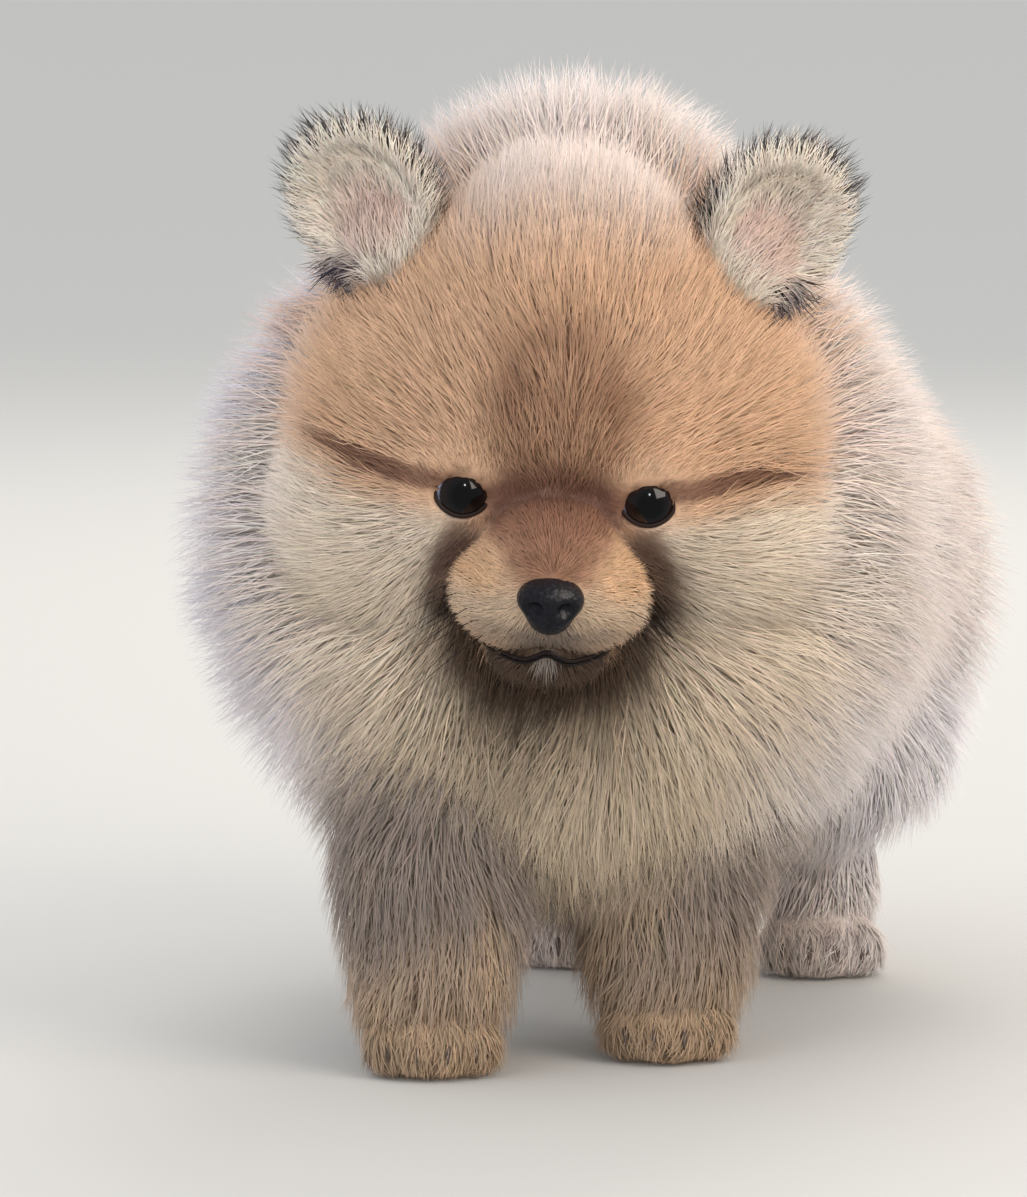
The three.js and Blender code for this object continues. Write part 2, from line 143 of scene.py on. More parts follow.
def waves(points: Array, size: float, seed: int) -> Array:
    """Smooth waves over points.

    Args:
        points: places in millimetres.
        size: rough length of a wave.
        seed: fixes their ways.

    Returns:
        About -1 to 1 for each point.
    """
    draw = np.random.default_rng(seed)
    total = np.zeros(len(points))
    for _ in range(5):
        way = unit(draw.normal(size=3)) * draw.uniform(0.7, 1.6) * 2 * math.pi / size
        total += np.sin(points @ way + draw.uniform(0, 2 * math.pi))
    return total / 2.6


def spot(points: Array, middle: Triple, radii: Triple) -> Array:
    """1 inside an ellipsoid, fading to 0 outside it."""
    return smooth(1.35, 0.65, np.linalg.norm((points - np.array(middle)) / np.array(radii), axis=1))


def streak(points: Array, start: tuple, end: tuple, radius: float) -> Array:
    """Soft straight line.

    Args:
        points: places.
        start: one end of the line.
        end: its other end.
        radius: where it has faded out.

    Returns:
        1 along the line and 0 beyond the radius, for each point.
    """
    a, b = np.array(start, float), np.array(end, float)
    t = np.clip((points - a) @ (b - a) / ((b - a) @ (b - a)), 0, 1)
    return smooth(radius * 1.4, radius * 0.5, np.linalg.norm(points - a - t[:, None] * (b - a), axis=1))


def crease(face: Array, radius: float) -> Array:
    """1 along the fold that runs from the eye's outer corner under the brow, seen from the front."""
    return streak(face[:, ::2], *CREASE, radius) * smooth(12, 0, face[:, 1])


def off_eye(face: Array) -> Array:
    """Distance of folded places to the middle of the eye's opening."""
    return np.linalg.norm(face - LIDS_LOCAL, axis=1)


def mouth_band(points: Array) -> Array:
    """Dark band of short hair that borders the muzzle from below.

    Args:
        points: places in the puppy's frame.

    Returns:
        1 in the band, fading to 0 beyond it.
    """
    to_mouth = np.min([part.distance(points, 0.3) for part in (MUZZLE, JAW)], axis=0)
    under = smooth(-18, -24, unplaced(HEAD_POSE, points)[:, 2])
    return smooth(0.1, 0.9, to_mouth) * smooth(11, 6.5, to_mouth) * under


@dataclass(frozen=True)
class Mass:
    """Ellipsoid of flesh with the depth of the coat on each axis. A hollow one is taken away."""

    middle: Triple
    flesh: Triple
    coat: Triple = (0.0, 0.0, 0.0)
    hollow: bool = False

    def distance(self, points: Array, share: float) -> Array:
        """Rough distance to the ellipsoid.

        Args:
            points: places in the region's frame.
            share: how much of the coat's depth is on.

        Returns:
            One distance for each point, below 0 inside.
        """
        p = points - np.array(self.middle)
        radii = np.array(self.flesh) + share * np.array(self.coat)
        near = np.linalg.norm(p / radii, axis=-1)
        steep = np.maximum(np.linalg.norm(p / radii**2, axis=-1), 1e-9)
        return near * (near - 1) / steep


@dataclass(frozen=True)
class Region:
    """Masses blended into one form, in a posed frame.

    Attributes:
        middle: where the rays that find its shell start from.
        soft: width of the blend between two masses.
        skin_share: share of the coat's depth that the skin takes in.
    """

    name: str
    masses: tuple[Mass, ...]
    middle: Triple
    soft: float
    pose: Array = field(default_factory=lambda: np.eye(4))
    skin_share: float = 0.55

    def distance(self, points: Array, share: float | None = None) -> Array:
        """Distance of points in the puppy's frame to this region.

        Args:
            points: places in millimetres.
            share: how much of the coat's depth is on, or none for the skin's.

        Returns:
            One distance for each point, below 0 inside.
        """
        share = self.skin_share if share is None else share
        local = unplaced(self.pose, points)
        total = np.full(len(points), 1e6)
        for mass in self.masses:
            sign = -1.0 if mass.hollow else 1.0
            a, b = sign * total, mass.distance(local, share)
            meet = np.maximum(self.soft - np.abs(a - b), 0) / self.soft
            total = sign * (np.minimum(a, b) - meet**2 * self.soft / 4)
        return total

    def shell(self, share: float, fineness: int, reach: float = 140.0) -> Shell:
        """Closed shell of the region, drawn in from outside along rays from its middle.

        Args:
            share: how much of the coat's depth is on.
            fineness: subdivisions of the ball of triangles.
            reach: where the rays start, in millimetres.

        Returns:
            Points in the puppy's frame and triangles.
        """
        rays, faces = ball(fineness)
        rays = rays @ self.pose[:3, :3].T
        start = placed(self.pose, np.array(self.middle)[None])
        far = np.full(len(rays), reach)
        for _ in range(SHELL_STEPS):
            gap = self.distance(start + rays * far[:, None], share)
            far = np.maximum(far - SHELL_STRIDE * gap, 0.3)
        return start + rays * far[:, None], faces


def ball(fineness: int) -> Shell:
    """Round ball of triangles.

    Args:
        fineness: its subdivisions.

    Returns:
        Directions of length 1 and triangles.
    """
    bm = bmesh.new()
    bmesh.ops.create_icosphere(bm, subdivisions=fineness, radius=1)
    rays = np.array([v.co for v in bm.verts])
    faces = np.array([[v.index for v in f.verts] for f in bm.faces])
    bm.free()
    return unit(rays), faces


def joined(shells: list[Shell]) -> Shell:
    """Joins shells.

    Args:
        shells: points and faces of each.

    Returns:
        All their points and faces as one.
    """
    starts = np.cumsum([0] + [len(points) for points, _ in shells[:-1]])
    faces = [faces + start for (_, faces), start in zip(shells, starts)]
    return np.concatenate([points for points, _ in shells]), np.concatenate(faces)


def both(make: Callable[[float], Mass]) -> tuple[Mass, Mass]:
    """The same mass on the left and on the right."""
    return make(1.0), make(-1.0)


def leg(name: str, x: float, y: float) -> Region:
    """A foreleg that stands at (x, y)."""
    upper, lower = Mass((x, y, 46), (10, 11, 30), (13, 12, 6)), Mass((x, y, 21), (8.5, 8.5, 18), (9, 9, 2))
    return Region(name, (upper, lower), (x, y, 34), 8)


def thigh(name: str, x: float) -> Region:
    """A hind leg, at x in the frame of the rump."""
    upper, lower = Mass((x, -2, -32), (15, 20, 22), (20, 14, 8)), Mass((x, 8, -68), (8, 9, 21), (6, 6, 1))
    return Region(name, (upper, lower), (x, 0, -44), 8, RUMP_POSE)


def paw(name: str, x: float, y: float) -> Region:
    """A paw with four toes.

    Args:
        name: its node.
        x: where its pad stands.
        y: the same, from front to back.

    Returns:
        The paw's region.
    """
    pad = Mass((x, y, 8), (11, 12, 10), (1.2, 1.2, 0.5))
    toes = (Mass((x + across, y - ahead, 6), (4.2, 7, 6.4), (0.6, 0.6, 0.4)) for across, ahead in TOES)
    return Region(name, (pad, *toes), (x, y - 3, 7), 2)


def hind_foot(side: float) -> Array:
    """Where a hind paw stands."""
    return placed(RUMP_POSE, np.array((side * HINDLEG_SPREAD, 6.0, 0.0)))


HEAD = Region(
    "head",
    (
        Mass((0, 5, 4), (30, 27, 24), (27, 13, 12)),
        Mass((0, 6, 18), (20, 24, 15), (15, 12, 28)),
        *both(lambda s: Mass((s * 24, 0, -17), (13, 17, 13), (22, 10, 13))),
        Mass((0, 2, -22), (16, 18, 12), (18, 6, 12)),
        Mass((0, -50, -10), (30, 27, 15), hollow=True),
        *both(lambda s: Mass((s * EYE_LOCAL[0], -37, -2), (9, 13.5, 7.5), hollow=True)),
        *both(lambda s: Mass((s * EYE_LOCAL[0], -17, -2), (11, 9, 10))),
    ),
    (0, 8, 2), 9, HEAD_POSE,
)
MUZZLE = Region(
    "muzzle",
    (
        Mass((0, -27, -8), (9.5, 17, 8), (3, 1, 1)),
        *both(lambda s: Mass((s * 7, -30, -18.5), (9, 13, 10), (4, 1, 1.5))),
        Mass((0, -38, -14), (8, 7, 8), (1, 0.5, 1)),
    ),
    (0, -29, -14), 5, HEAD_POSE, 0.3,
)
JAW = Region(
    "jaw", (Mass((0, -27, -30), (10.5, 13, 6), (3, 1, 1.5)),), (0, -28, -30), 5, HEAD_POSE, 0.3
)
NECK = Region(
    "neck",
    (Mass((3, 6, 110), (33, 38, 40), (48, 20, 40)), Mass((4, 4, 158), (20, 22, 16), (23, 22, 33))),
    (3, 6, 118), 14,
)
TORSO = Region("torso", (Mass((16, 55, 104), (36, 46, 34), (38, 18, 30)),), (16, 55, 104), 12)
RUMP = Region("rump", (Mass((0, 0, 0), (34, 34, 33), (36, 20, 27)),), (0, 0, 0), 12, RUMP_POSE)
TAIL = Region(
    "tail",
    (
        Mass((0, 36, 32), (5, 6, 14), (10, 8, 6)),
        Mass((0, 32, 62), (5, 12, 8), (18, 14, 14)),
        Mass((0, 4, 68), (5, 16, 4), (18, 14, 14)),
    ),
    (0, 28, 52), 10, RUMP_POSE,
)
LEGS = (
    *(leg(f"foreleg_{name}", *stand) for name, stand in FORELEGS.items()),
    *(thigh(f"hindleg_{name}", side * HINDLEG_SPREAD) for name, side in SIDES.items()),
)
PAWS = (
    *(paw(f"forepaw_{name}", *stand) for name, stand in FORELEGS.items()),
    *(paw(f"hindpaw_{name}", *hind_foot(side)[:2]) for name, side in SIDES.items()),
)
REGIONS = (HEAD, MUZZLE, JAW, NECK, TORSO, RUMP, TAIL, *LEGS, *PAWS)
NOSE = Region(
    "nose",
    (
        Mass((0, -45, -13), (6.7, 5.2, 4.6)),
        Mass((0, -45.5, -16), (4.6, 4.2, 4.2)),
        *both(lambda s: Mass((s * 3.3, -50, -13.4), (1.9, 2.4, 1.5), hollow=True)),
        Mass((0, -51.5, -17), (0.7, 2.4, 4), hollow=True),
    ),
    (0, -44, -14), 1.5, HEAD_POSE,
)
FLESH_NODES = tuple(r.name for r in REGIONS) + ("ear_left", "ear_right")


def ear_pose(side: float) -> Array:
    """Frame of an ear: it opens along -Y and its tip is up."""
    turn = Matrix.Rotation(side * math.radians(14), 4, "Z") @ Matrix.Rotation(side * math.radians(27), 4, "Y")
    return HEAD_POSE @ np.array(Matrix.Translation((side * 41, 12, 45)) @ turn)


@dataclass(frozen=True)
class Ears:
    """Where places lie on the ears.

    Attributes:
        share: how much each place belongs to an ear, from 0 to 1.
        side: 1 on the left ear and -1 on the right one.
        local: the place in the ear's frame, +X outwards on both.
        inside: 1 in the cup and 0 on the back.
        rim: 1 at the edge of the ear.
        corner: 1 in the tuft at its outer lower corner.
    """

    share: Array
    side: Array
    local: Array
    inside: Array
    rim: Array
    corner: Array

    @classmethod
    def at(cls, places: Array) -> Ears:
        """Finds where places lie on the ears.

        Args:
            places: in the puppy's frame.

        Returns:
            The ears' values at each place.
        """
        share, side, local = np.zeros(len(places)), np.ones(len(places)), np.zeros_like(places)
        for sign in SIDES.values():
            spots = unplaced(ear_pose(sign), places)
            own = smooth(1.6, 1.15, np.linalg.norm((spots - (0, 0, -1)) / EAR_RADII / (1, 1.5, 1), axis=1))
            closer = own > share
            share[closer], side[closer] = own[closer], sign
            local[closer] = spots[closer] * (sign, 1, 1)
        reach = np.hypot(local[:, 0] / EAR_RADII[0], (local[:, 2] + 1) / EAR_RADII[2])
        inside = smooth(1.1, 0.98, reach) * smooth(2.2, 1.2, local[:, 1] + 2.2 * smooth(0.84, 1, reach))
        return cls(share, side, local, inside, smooth(0.8, 0.96, reach), spot(local, (9, 0, -13), (5, 8, 5)))


@dataclass(frozen=True)
class Markings:
    """Colours of the coat, as sRGB hex: a tan and cream puppy with a dark mask and grey-brown legs."""

    tan: str = "#E0B490"
    tan_deep: str = "#A0765A"
    crown: str = "#EDDACE"
    cheek: str = "#F2DEC6"
    cream_white: str = "#EADCD4"
    lilac_white: str = "#DCD5DC"
    bib: str = "#E2CDB2"
    # Brown fur under the jaw, darkened further as painted shade from the head.
    bib_shade: str = "#6A523C"
    taupe: str = "#9A8B81"
    leg_tan: str = "#CBB094"
    paw: str = "#B89A7B"
    mask: str = "#583829"
    red_brown: str = "#63341F"
    bridge: str = "#8C5F47"
    muzzle: str = "#CDB398"
    gold: str = "#DBB088"
    lip_grey: str = "#70645F"
    lip_dark: str = "#2A1A12"
    chin: str = "#B9B0AA"
    ear_rim: str = "#FFEEDC"
    ear_cup: str = "#E2C2B4"
    ear_back: str = "#5F5350"
    ear_corner: str = "#4B4450"
    hip: str = "#F2ECEF"
    saddle: str = "#B3937A"

    def laid(self, base: Array | str, *layers: tuple[str, Array]) -> Array:
        """Lays colours over one another.

        Args:
            base: colours, or the name of one.
            layers: names of colours, each with how much of it lies at each point, from 0 to 1.

        Returns:
            Linear red, green and blue for each point.
        """
        total = hex_colour(getattr(self, base)) if isinstance(base, str) else base
        for name, amount in layers:
            total = total + (hex_colour(getattr(self, name)) - total) * np.clip(amount, 0, 1)[:, None]
        return total

    def paint(self, points: Array, ears: Ears) -> Array:
        """Linear colour of the coat that is rooted at points.

        Args:
            points: places in the puppy's frame, in millimetres.
            ears: where they lie on the ears.

        Returns:
            Red, green and blue for each point.
        """
        face = folded(points)
        to_face = np.min([part.distance(points, 0.6) for part in (HEAD, MUZZLE, JAW)], axis=0)
        body = self.paint_body(points)
        whole = self.laid(
            body + (self.paint_face(face) - body) * smooth(10, -2, to_face)[:, None],
            # Brown fur under the jaw, darkened further as painted shade where the head shades the top of the
            # bib.
            ("bib_shade", spot(face, (0, -26, -44), (18, 16, 7)) * 0.4),
            ("lip_dark", mouth_band(points) * 0.9),
        )
        return whole + (self.paint_ear(ears) - whole) * ears.share[:, None]

    def paint_body(self, points: Array) -> Array:
        """Ruff, bib, back, hips and legs.

        Args:
            points: places in the puppy's frame.

        Returns:
            Their colours.
        """
        x, y, z = points.T
        ripple, behind = waves(points, 24, 3), unplaced(RUMP_POSE, points)
        body = self.laid(
            "cream_white",
            ("lilac_white", smooth(-10, -46, x) * 0.9),
            ("bib", smooth(24, -8, y) * smooth(58, 26, np.abs(x - 2)) * smooth(124, 96, z)),
            ("saddle", smooth(20, 60, y) * smooth(100, 140, z) * (0.4 + 0.3 * ripple)),
            ("hip", smooth(20, 50, np.abs(behind[:, 0])) * smooth(10, -25, behind[:, 2]) * 0.8),
        )
        front = smooth(64, 34, y)
        legs = self.laid(
            body,
            ("taupe", front),
            ("leg_tan", smooth(0.1, 0.9, ripple) * front * smooth(60, 34, z)),
            ("leg_tan", smooth(44, 20, z) * (0.2 + 0.4 * front)),
            ("paw", smooth(30, 8, z) * (0.25 + 0.5 * front)),
        )
        groups = (LEGS + PAWS, (NECK, TORSO, RUMP))
        to_leg, to_trunk = (np.min([r.distance(points) for r in group], axis=0) for group in groups)
        return body + (legs - body) * smooth(4, -3, to_leg - to_trunk)[:, None]

    def paint_face(self, face: Array) -> Array:
        """Head and muzzle.

        Args:
            face: folded places in the head's frame.

        Returns:
            Their colours.
        """
        side, forth, up = face.T
        ripple = waves(face, 12, 5)
        lips = np.maximum(streak(face, (0, -40, -31), (12, -34, -31), 5.0),
                          streak(face, (12, -34, -31), (20, -24, -24), 4.5))
        return self.laid(
            "tan",
            ("cheek", smooth(-1, -9, up) * smooth(12, 24, side)),
            ("cream_white", smooth(38, 52, side) * 0.7),
            ("crown", smooth(-26, 2, forth) * smooth(31, 47, up)),
            ("tan_deep", spot(face, (0, -26, 12), (13, 22, 20)) * (0.7 + 0.2 * ripple)),
            # Painted shade: a dark red-brown line along the brow crease, where the forehead fur overhangs the
            # cheeks.
            ("red_brown", crease(face, 2.2) * 0.8),
            ("bridge", spot(face, (0, -26, -3), (15, 16, 10)) * 0.9),
            ("red_brown", spot(face, (9, -21, -1), (6, 10, 6)) * 0.9),
            ("red_brown", spot(face, (0, -25, 1), (9, 8, 4)) * 0.5),
            ("muzzle", spot(face, (0, -36, -18), (18, 14, 8))),
            ("gold", spot(face, (12, -34, -11.5), (6, 9, 5))),
            ("bridge", spot(face, (0, -36, -7), (8, 14, 6)) * 0.85),
            ("mask", spot(face, (18.5, -24, -15), (4.5, 9, 10)) * 0.85),
            ("mask", streak(face, (12, -22, -5), (18, -24, -14), 3.4) * 0.7),
            ("mask", smooth(8.6, 6.4, off_eye(face)) * 0.7),
            ("lip_grey", spot(face, (5, -42, -22.5), (9, 8, 4)) * (0.7 + 0.3 * ripple)),
            ("lip_dark", lips * 0.95),
            ("chin", spot(face, (0, -41, -28), (2.2, 4, 1.4)) * 0.45),
        )

    def paint_ear(self, ears: Ears) -> Array:
        """Cream cup with a rosy middle, dark back and a mauve tuft at the outer corner.

        Args:
            ears: where places lie on the ears.

        Returns:
            Their colours.
        """
        cup = ears.inside * spot(ears.local, (0, 0, -5), (7.5, 9, 7.5))
        low_back = smooth(-4, -15, ears.local[:, 2]) * (1 - ears.inside)
        layers = (("ear_rim", ears.inside), ("ear_cup", cup * 0.85), ("tan", low_back * 0.7))
        return self.laid("ear_back", *layers, ("ear_corner", ears.corner))


def make_mesh(name: str, shell: Shell) -> bpy.types.Mesh:
    """Smooth mesh.

    Args:
        name: the mesh's name.
        shell: points in metres, and faces with one number of corners.

    Returns:
        The new mesh.
    """
    points, faces = shell
    mesh = bpy.data.meshes.new(name)
    mesh.vertices.add(len(points))
    mesh.vertices.foreach_set("co", np.ascontiguousarray(points, np.float32).ravel())
    mesh.loops.add(faces.size)
    mesh.loops.foreach_set("vertex_index", np.ascontiguousarray(faces, np.int32).ravel())
    mesh.polygons.add(len(faces))
    mesh.polygons.foreach_set("loop_start", np.arange(0, faces.size, faces.shape[1], dtype=np.int32))
    mesh.update(calc_edges=True)
    mesh.validate()
    mesh.polygons.foreach_set("use_smooth", np.ones(len(mesh.polygons), bool))
    return mesh


def make_piece(mesh: bpy.types.Mesh, finish: bpy.types.Material | None = None) -> bpy.types.Object:
    """Object at the origin with the mesh's name.

    Args:
        mesh: its mesh.
        finish: its material.

    Returns:
        The object, linked to the scene.
    """
    if finish:
        mesh.materials.append(finish)
    made = bpy.data.objects.new(mesh.name, mesh)
    bpy.context.scene.collection.objects.link(made)
    return made


def settle(made: bpy.types.Object) -> bpy.types.Object:
    """Applies an object's modifiers.

    Args:
        made: the object.

    Returns:
        The same object with a plain mesh of its own.
    """
    graph = bpy.context.evaluated_depsgraph_get()
    mesh = bpy.data.meshes.new_from_object(made.evaluated_get(graph))
    made.modifiers.clear()
    old, made.data = made.data, mesh
    bpy.data.meshes.remove(old)
    return made


def write_colour(mesh: bpy.types.Mesh, colours: Array) -> None:
    """Stores colours on the points of a mesh.

    Args:
        mesh: the mesh.
        colours: linear red, green and blue for each point.
    """
    layer = mesh.color_attributes.new(COLOUR, "FLOAT_COLOR", "POINT")
    rgba = np.column_stack((np.clip(colours, 0, 1), np.ones(len(colours))))
    layer.data.foreach_set("color", rgba.astype(np.float32).ravel())


def read(items: bpy.types.bpy_prop_collection, what: str, columns: int, kind: type = np.float32) -> Array:
    """One property of every point, loop or triangle of a mesh.

    Args:
        items: the points, loops or triangles.
        what: the property's name.
        columns: numbers in each row.
        kind: their type.

    Returns:
        One row for each item.
    """
    values = np.empty(len(items) * columns, kind)
    items.foreach_get(what, values)
    return values.reshape(-1, columns)


class Shader:
    """One material's node tree, with a function that adds a node with its settings and links."""

    def __init__(self, name: str) -> None:
        """Starts a material with a Principled shader alone.

        Args:
            name: the material's name.
        """
        self.material = bpy.data.materials.new(name)
        self.material.use_nodes = True
        self.nodes = self.material.node_tree.nodes
        self.main = next(n for n in self.nodes if n.type == "BSDF_PRINCIPLED")

    def fill(self, node: bpy.types.Node, values: dict) -> bpy.types.Node:
        """Gives a node's inputs their values or links.

        Args:
            node: the node.
            values: input names with an output socket or a value for each.

        Returns:
            The same node.
        """
        for key, value in values.items():
            if isinstance(value, bpy.types.NodeSocket):
                self.material.node_tree.links.new(value, node.inputs[key])
            else:
                node.inputs[key].default_value = value
        return node

    def add(self, kind: str, values: dict | None = None, **settings: object) -> bpy.types.Node:
        """Adds a node.

        Args:
            kind: the node's type.
            values: input names with an output socket or a value for each.
            settings: the node's own properties.

        Returns:
            The new node.
        """
        node = self.nodes.new(kind)
        for key, value in settings.items():
            setattr(node, key, value)
        return self.fill(node, values or {})


@dataclass(frozen=True)
class Finish:
    """A surface of the puppy: its colour, its grain and how it takes light.

    Attributes:
        name: the material's name.
        tones: sRGB hex colours from low to high grain, or none where the mesh carries its own colours.
        grain: real size of the grain in millimetres, or 0 for none.
        detail: finer layers of the grain.
        pebbled: the grain is round cells.
        mottle: how far the grain lightens and darkens the mesh's own colours.
        relief: strength of the grain's bump, and its height in millimetres.
    """

    name: str
    tones: tuple[str, ...] = ()
    grain: float = 0.0
    detail: float = 3.0
    pebbled: bool = False
    mottle: float = 0.0
    relief: tuple[float, float] = (0.0, 0.0)
    roughness: float = 0.5
    specular: float = 0.5
    sheen: float = 0.0
    coat: float = 0.0
    coat_roughness: float = 0.03
    ior: float = 1.5

    def linear_tones(self) -> list[Array]:
        """The tones as linear colours."""
        return [hex_colour(tone) for tone in self.tones]

    def make(self) -> bpy.types.Material:
        """Builds the material.

        Returns:
            It, with the colour, roughness, specular, sheen, coat and IOR of its Principled shader set or
            linked, and its normal where there is relief.
        """
        shader = Shader(self.name)
        values: dict[str, object] = {
            "Roughness": self.roughness, "Specular IOR Level": self.specular, "Sheen Weight": self.sheen,
            "Coat Weight": self.coat, "Coat Roughness": self.coat_roughness, "IOR": self.ior}
        grain = None
        if self.grain:
            place = shader.add("ShaderNodeTexCoord").outputs["Object"]
            size = {"Vector": place, "Scale": 1 / (self.grain * MM)}
            if self.pebbled:
                grain = shader.add("ShaderNodeTexVoronoi", size).outputs["Distance"]
            else:
                grain = shader.add("ShaderNodeTexNoise", size | {"Detail": self.detail}).outputs["Fac"]
        if self.tones:
            ramp = shader.add("ShaderNodeValToRGB", {"Fac": grain})
            for stop, tone in zip(ramp.color_ramp.elements, self.linear_tones()):
                stop.color = (*tone, 1)
            values["Base Color"] = ramp.outputs["Color"]
        else:
            values["Base Color"] = shader.add("ShaderNodeVertexColor", layer_name=COLOUR).outputs["Color"]
        if self.mottle:
            shade = shader.add("ShaderNodeMapRange", {
                "Value": grain, "From Min": 0.3, "From Max": 0.7,
                "To Min": 1 - self.mottle, "To Max": 1 + self.mottle})
            mixed = shader.add("ShaderNodeVectorMath", {0: values["Base Color"], 1: shade.outputs["Result"]},
                               operation="MULTIPLY")
            values["Base Color"] = mixed.outputs["Vector"]
        strength, height = self.relief
        if strength:
            rise = {"Height": grain, "Strength": strength, "Distance": height * MM}
            bump = shader.add("ShaderNodeBump", rise, invert=self.pebbled)
            values["Normal"] = bump.outputs["Normal"]
        shader.fill(shader.main, values)
        return shader.material


@dataclass(frozen=True)
class FurFinish(Finish):
    """Keratin of soft puppy hair: matt, a little mottled, with a faint sheen at the tips."""

    name: str = "soft_puppy_hair"
    grain: float = 3.5
    mottle: float = 0.12
    roughness: float = 0.72
    specular: float = 0.15
    sheen: float = 0.06


@dataclass(frozen=True)
class SkinFinish(Finish):
    """Living skin under the coat: matt, with fine short down that shows as bump."""

    name: str = "downy_skin"
    grain: float = 0.6
    detail: float = 4.0
    relief: tuple[float, float] = (0.5, 0.3)
    roughness: float = 0.8
    specular: float = 0.2


@dataclass(frozen=True)
class NoseFinish(Finish):
    """Nose leather: thick black skin under a thin film of moisture.

    Its pebbles are drawn at 0.85 mm, a little coarser than real ones, so that they show in the render.
    """

    name: str = "wet_nose_leather"
    tones: tuple[str, ...] = ("#1C1A26", "#0A090D")
    grain: float = 0.85
    pebbled: bool = True
    relief: tuple[float, float] = (0.8, 0.2)
    roughness: float = 0.42
    coat: float = 0.15
    coat_roughness: float = 0.2


@dataclass(frozen=True)
class RimFinish(Finish):
    """Bare pigmented skin of lids and lips, and dark bristles: soft, mottled round one tone."""

    grain: float = 1.1
    relief: tuple[float, float] = (0.35, 0.1)
    roughness: float = 0.42

    def linear_tones(self) -> list[Array]:
        """A darker and a lighter shade of the one tone."""
        return [hex_colour(self.tones[0]) * share for share in (0.6, 1.5)]


@dataclass(frozen=True)
class EyeFinish(Finish):
    """Wet eyeball: an almost black iris under a clear glossy cornea, blue-white at its edge."""

    name: str = "wet_dark_eye"
    roughness: float = 0.15
    specular: float = 0.2
    coat: float = 0.9
    coat_roughness: float = 0.02
    ior: float = 1.376


@dataclass(frozen=True)
class HornFinish(Finish):
    """Keratin of a claw: hard, smooth and grey-brown, in fine streaks."""

    name: str = "claw_horn"
    tones: tuple[str, ...] = ("#2E2622", "#6A5A50")
    grain: float = 0.8
    detail: float = 2.0
    roughness: float = 0.34


@dataclass
class Skin:
    """One closed skin for the whole body, from the regions' shells, with its eyes open.

    Attributes:
        voxel: size of the skin's faces, in millimetres.
        opening: half width and half height of the opening between the lids.
        clear: gap between the skin and the eyeball.
        sunk: how far the skin lies under the front of the eyeball.
        shade: the skin's tone as a share of the coat's, a little darker as painted shade under the coat.
    """

    markings: Markings
    voxel: float = 1.5
    opening: tuple[float, float] = (5.7, 4.6)
    clear: float = 0.5
    sunk: float = 1.6
    shade: float = 0.9

    def build(self) -> bpy.types.Object:
        """Joins the shells, melts them together, opens the eyes, paints and unwraps the skin.

        Returns:
            The finished skin.
        """
        shells = [region.shell(region.skin_share, 5) for region in REGIONS]
        points, faces = joined(shells + [self.ear(side) for side in SIDES.values()])
        made = make_piece(make_mesh("skin", (to_metres(points), faces)))
        melt = made.modifiers.new("melt", "REMESH")
        melt.mode = "VOXEL"
        melt.voxel_size = self.voxel * MM
        ease = made.modifiers.new("ease", "SMOOTH")
        ease.factor = 0.5
        ease.iterations = 5
        mesh = settle(made).data
        places = self.open_eyes(read(mesh.vertices, "co", 3).astype(float) / MM - SHIFT)
        places[:, 2] = np.maximum(places[:, 2], 0.4)
        mesh.vertices.foreach_set("co", to_metres(places).astype(np.float32).ravel())
        mesh.update()
        mesh.polygons.foreach_set("use_smooth", np.ones(len(mesh.polygons), bool))
        # The skin takes the coat's colours a little darker: painted shade under the coat.
        write_colour(mesh, self.markings.paint(places, Ears.at(places)) * self.shade)
        self.unwrap(made)
        mesh.materials.append(SkinFinish().make())
        return made

    def ear(self, side: float) -> Shell:
        """Shell of an ear on its stem, with its cup pressed in from the front.

        Args:
            side: 1 for the left ear and -1 for the right one.

        Returns:
            Points in the puppy's frame and triangles.
        """
        rays, faces = ball(5)
        points = rays * EAR_RADII
        reach = (points[:, 0] / EAR_RADII[0]) ** 2 + (points[:, 2] / EAR_RADII[2]) ** 2
        pressed = smooth(0.8, 0.35, reach) * (points[:, 1] < 0)
        points[:, 1] += pressed * (1.4 - points[:, 1])
        points[:, 2] -= 1
        stem = rays * np.array((9.5, 6.5, 13.0)) + np.array((0, 1.5, -15.0))
        points, faces = joined([(points, faces), (stem, faces)])
        return placed(ear_pose(side), points), faces

    def open_eyes(self, places: Array) -> Array:
        """Presses the skin in behind each eyeball's front, and slopes it away round the opening.

        Args:
            places: the skin's points.

        Returns:
            The points' new places.
        """
        local = unplaced(HEAD_POSE, places)
        for side in SIDES.values():
            eye = EYE_LOCAL * (side, 1, 1)
            from_eye = local - eye
            far = np.linalg.norm(from_eye, axis=1)
            near = (far < EYE_RADIUS * 2) & (from_eye[:, 1] < 0)
            rise = from_eye[:, 2] - LID_RISE
            across = np.hypot(from_eye[:, 0] / self.opening[0], rise / self.opening[1])
            least = EYE_RADIUS + self.clear
            slope = least + np.where(across < 2.2, 9 * np.clip(across - 1, 0, 2), 99)
            wanted = np.where(across < 1, EYE_RADIUS - self.sunk, np.clip(far, least, slope))
            local[near] = eye + unit(from_eye[near]) * wanted[near, None]
        return placed(HEAD_POSE, local)

    def unwrap(self, made: bpy.types.Object) -> None:
        """Unwraps the skin by its own shape into the map that its coat shares.

        Args:
            made: the skin.
        """
        made.data.uv_layers.new(name=BAKE_MAP)
        bpy.context.view_layer.objects.active = made
        made.select_set(True)
        bpy.ops.object.mode_set(mode="EDIT")
        bpy.ops.mesh.select_all(action="SELECT")
        bpy.ops.uv.smart_project(angle_limit=math.radians(66), island_margin=0.002)
        bpy.ops.object.mode_set(mode="OBJECT")
        made.select_set(False)


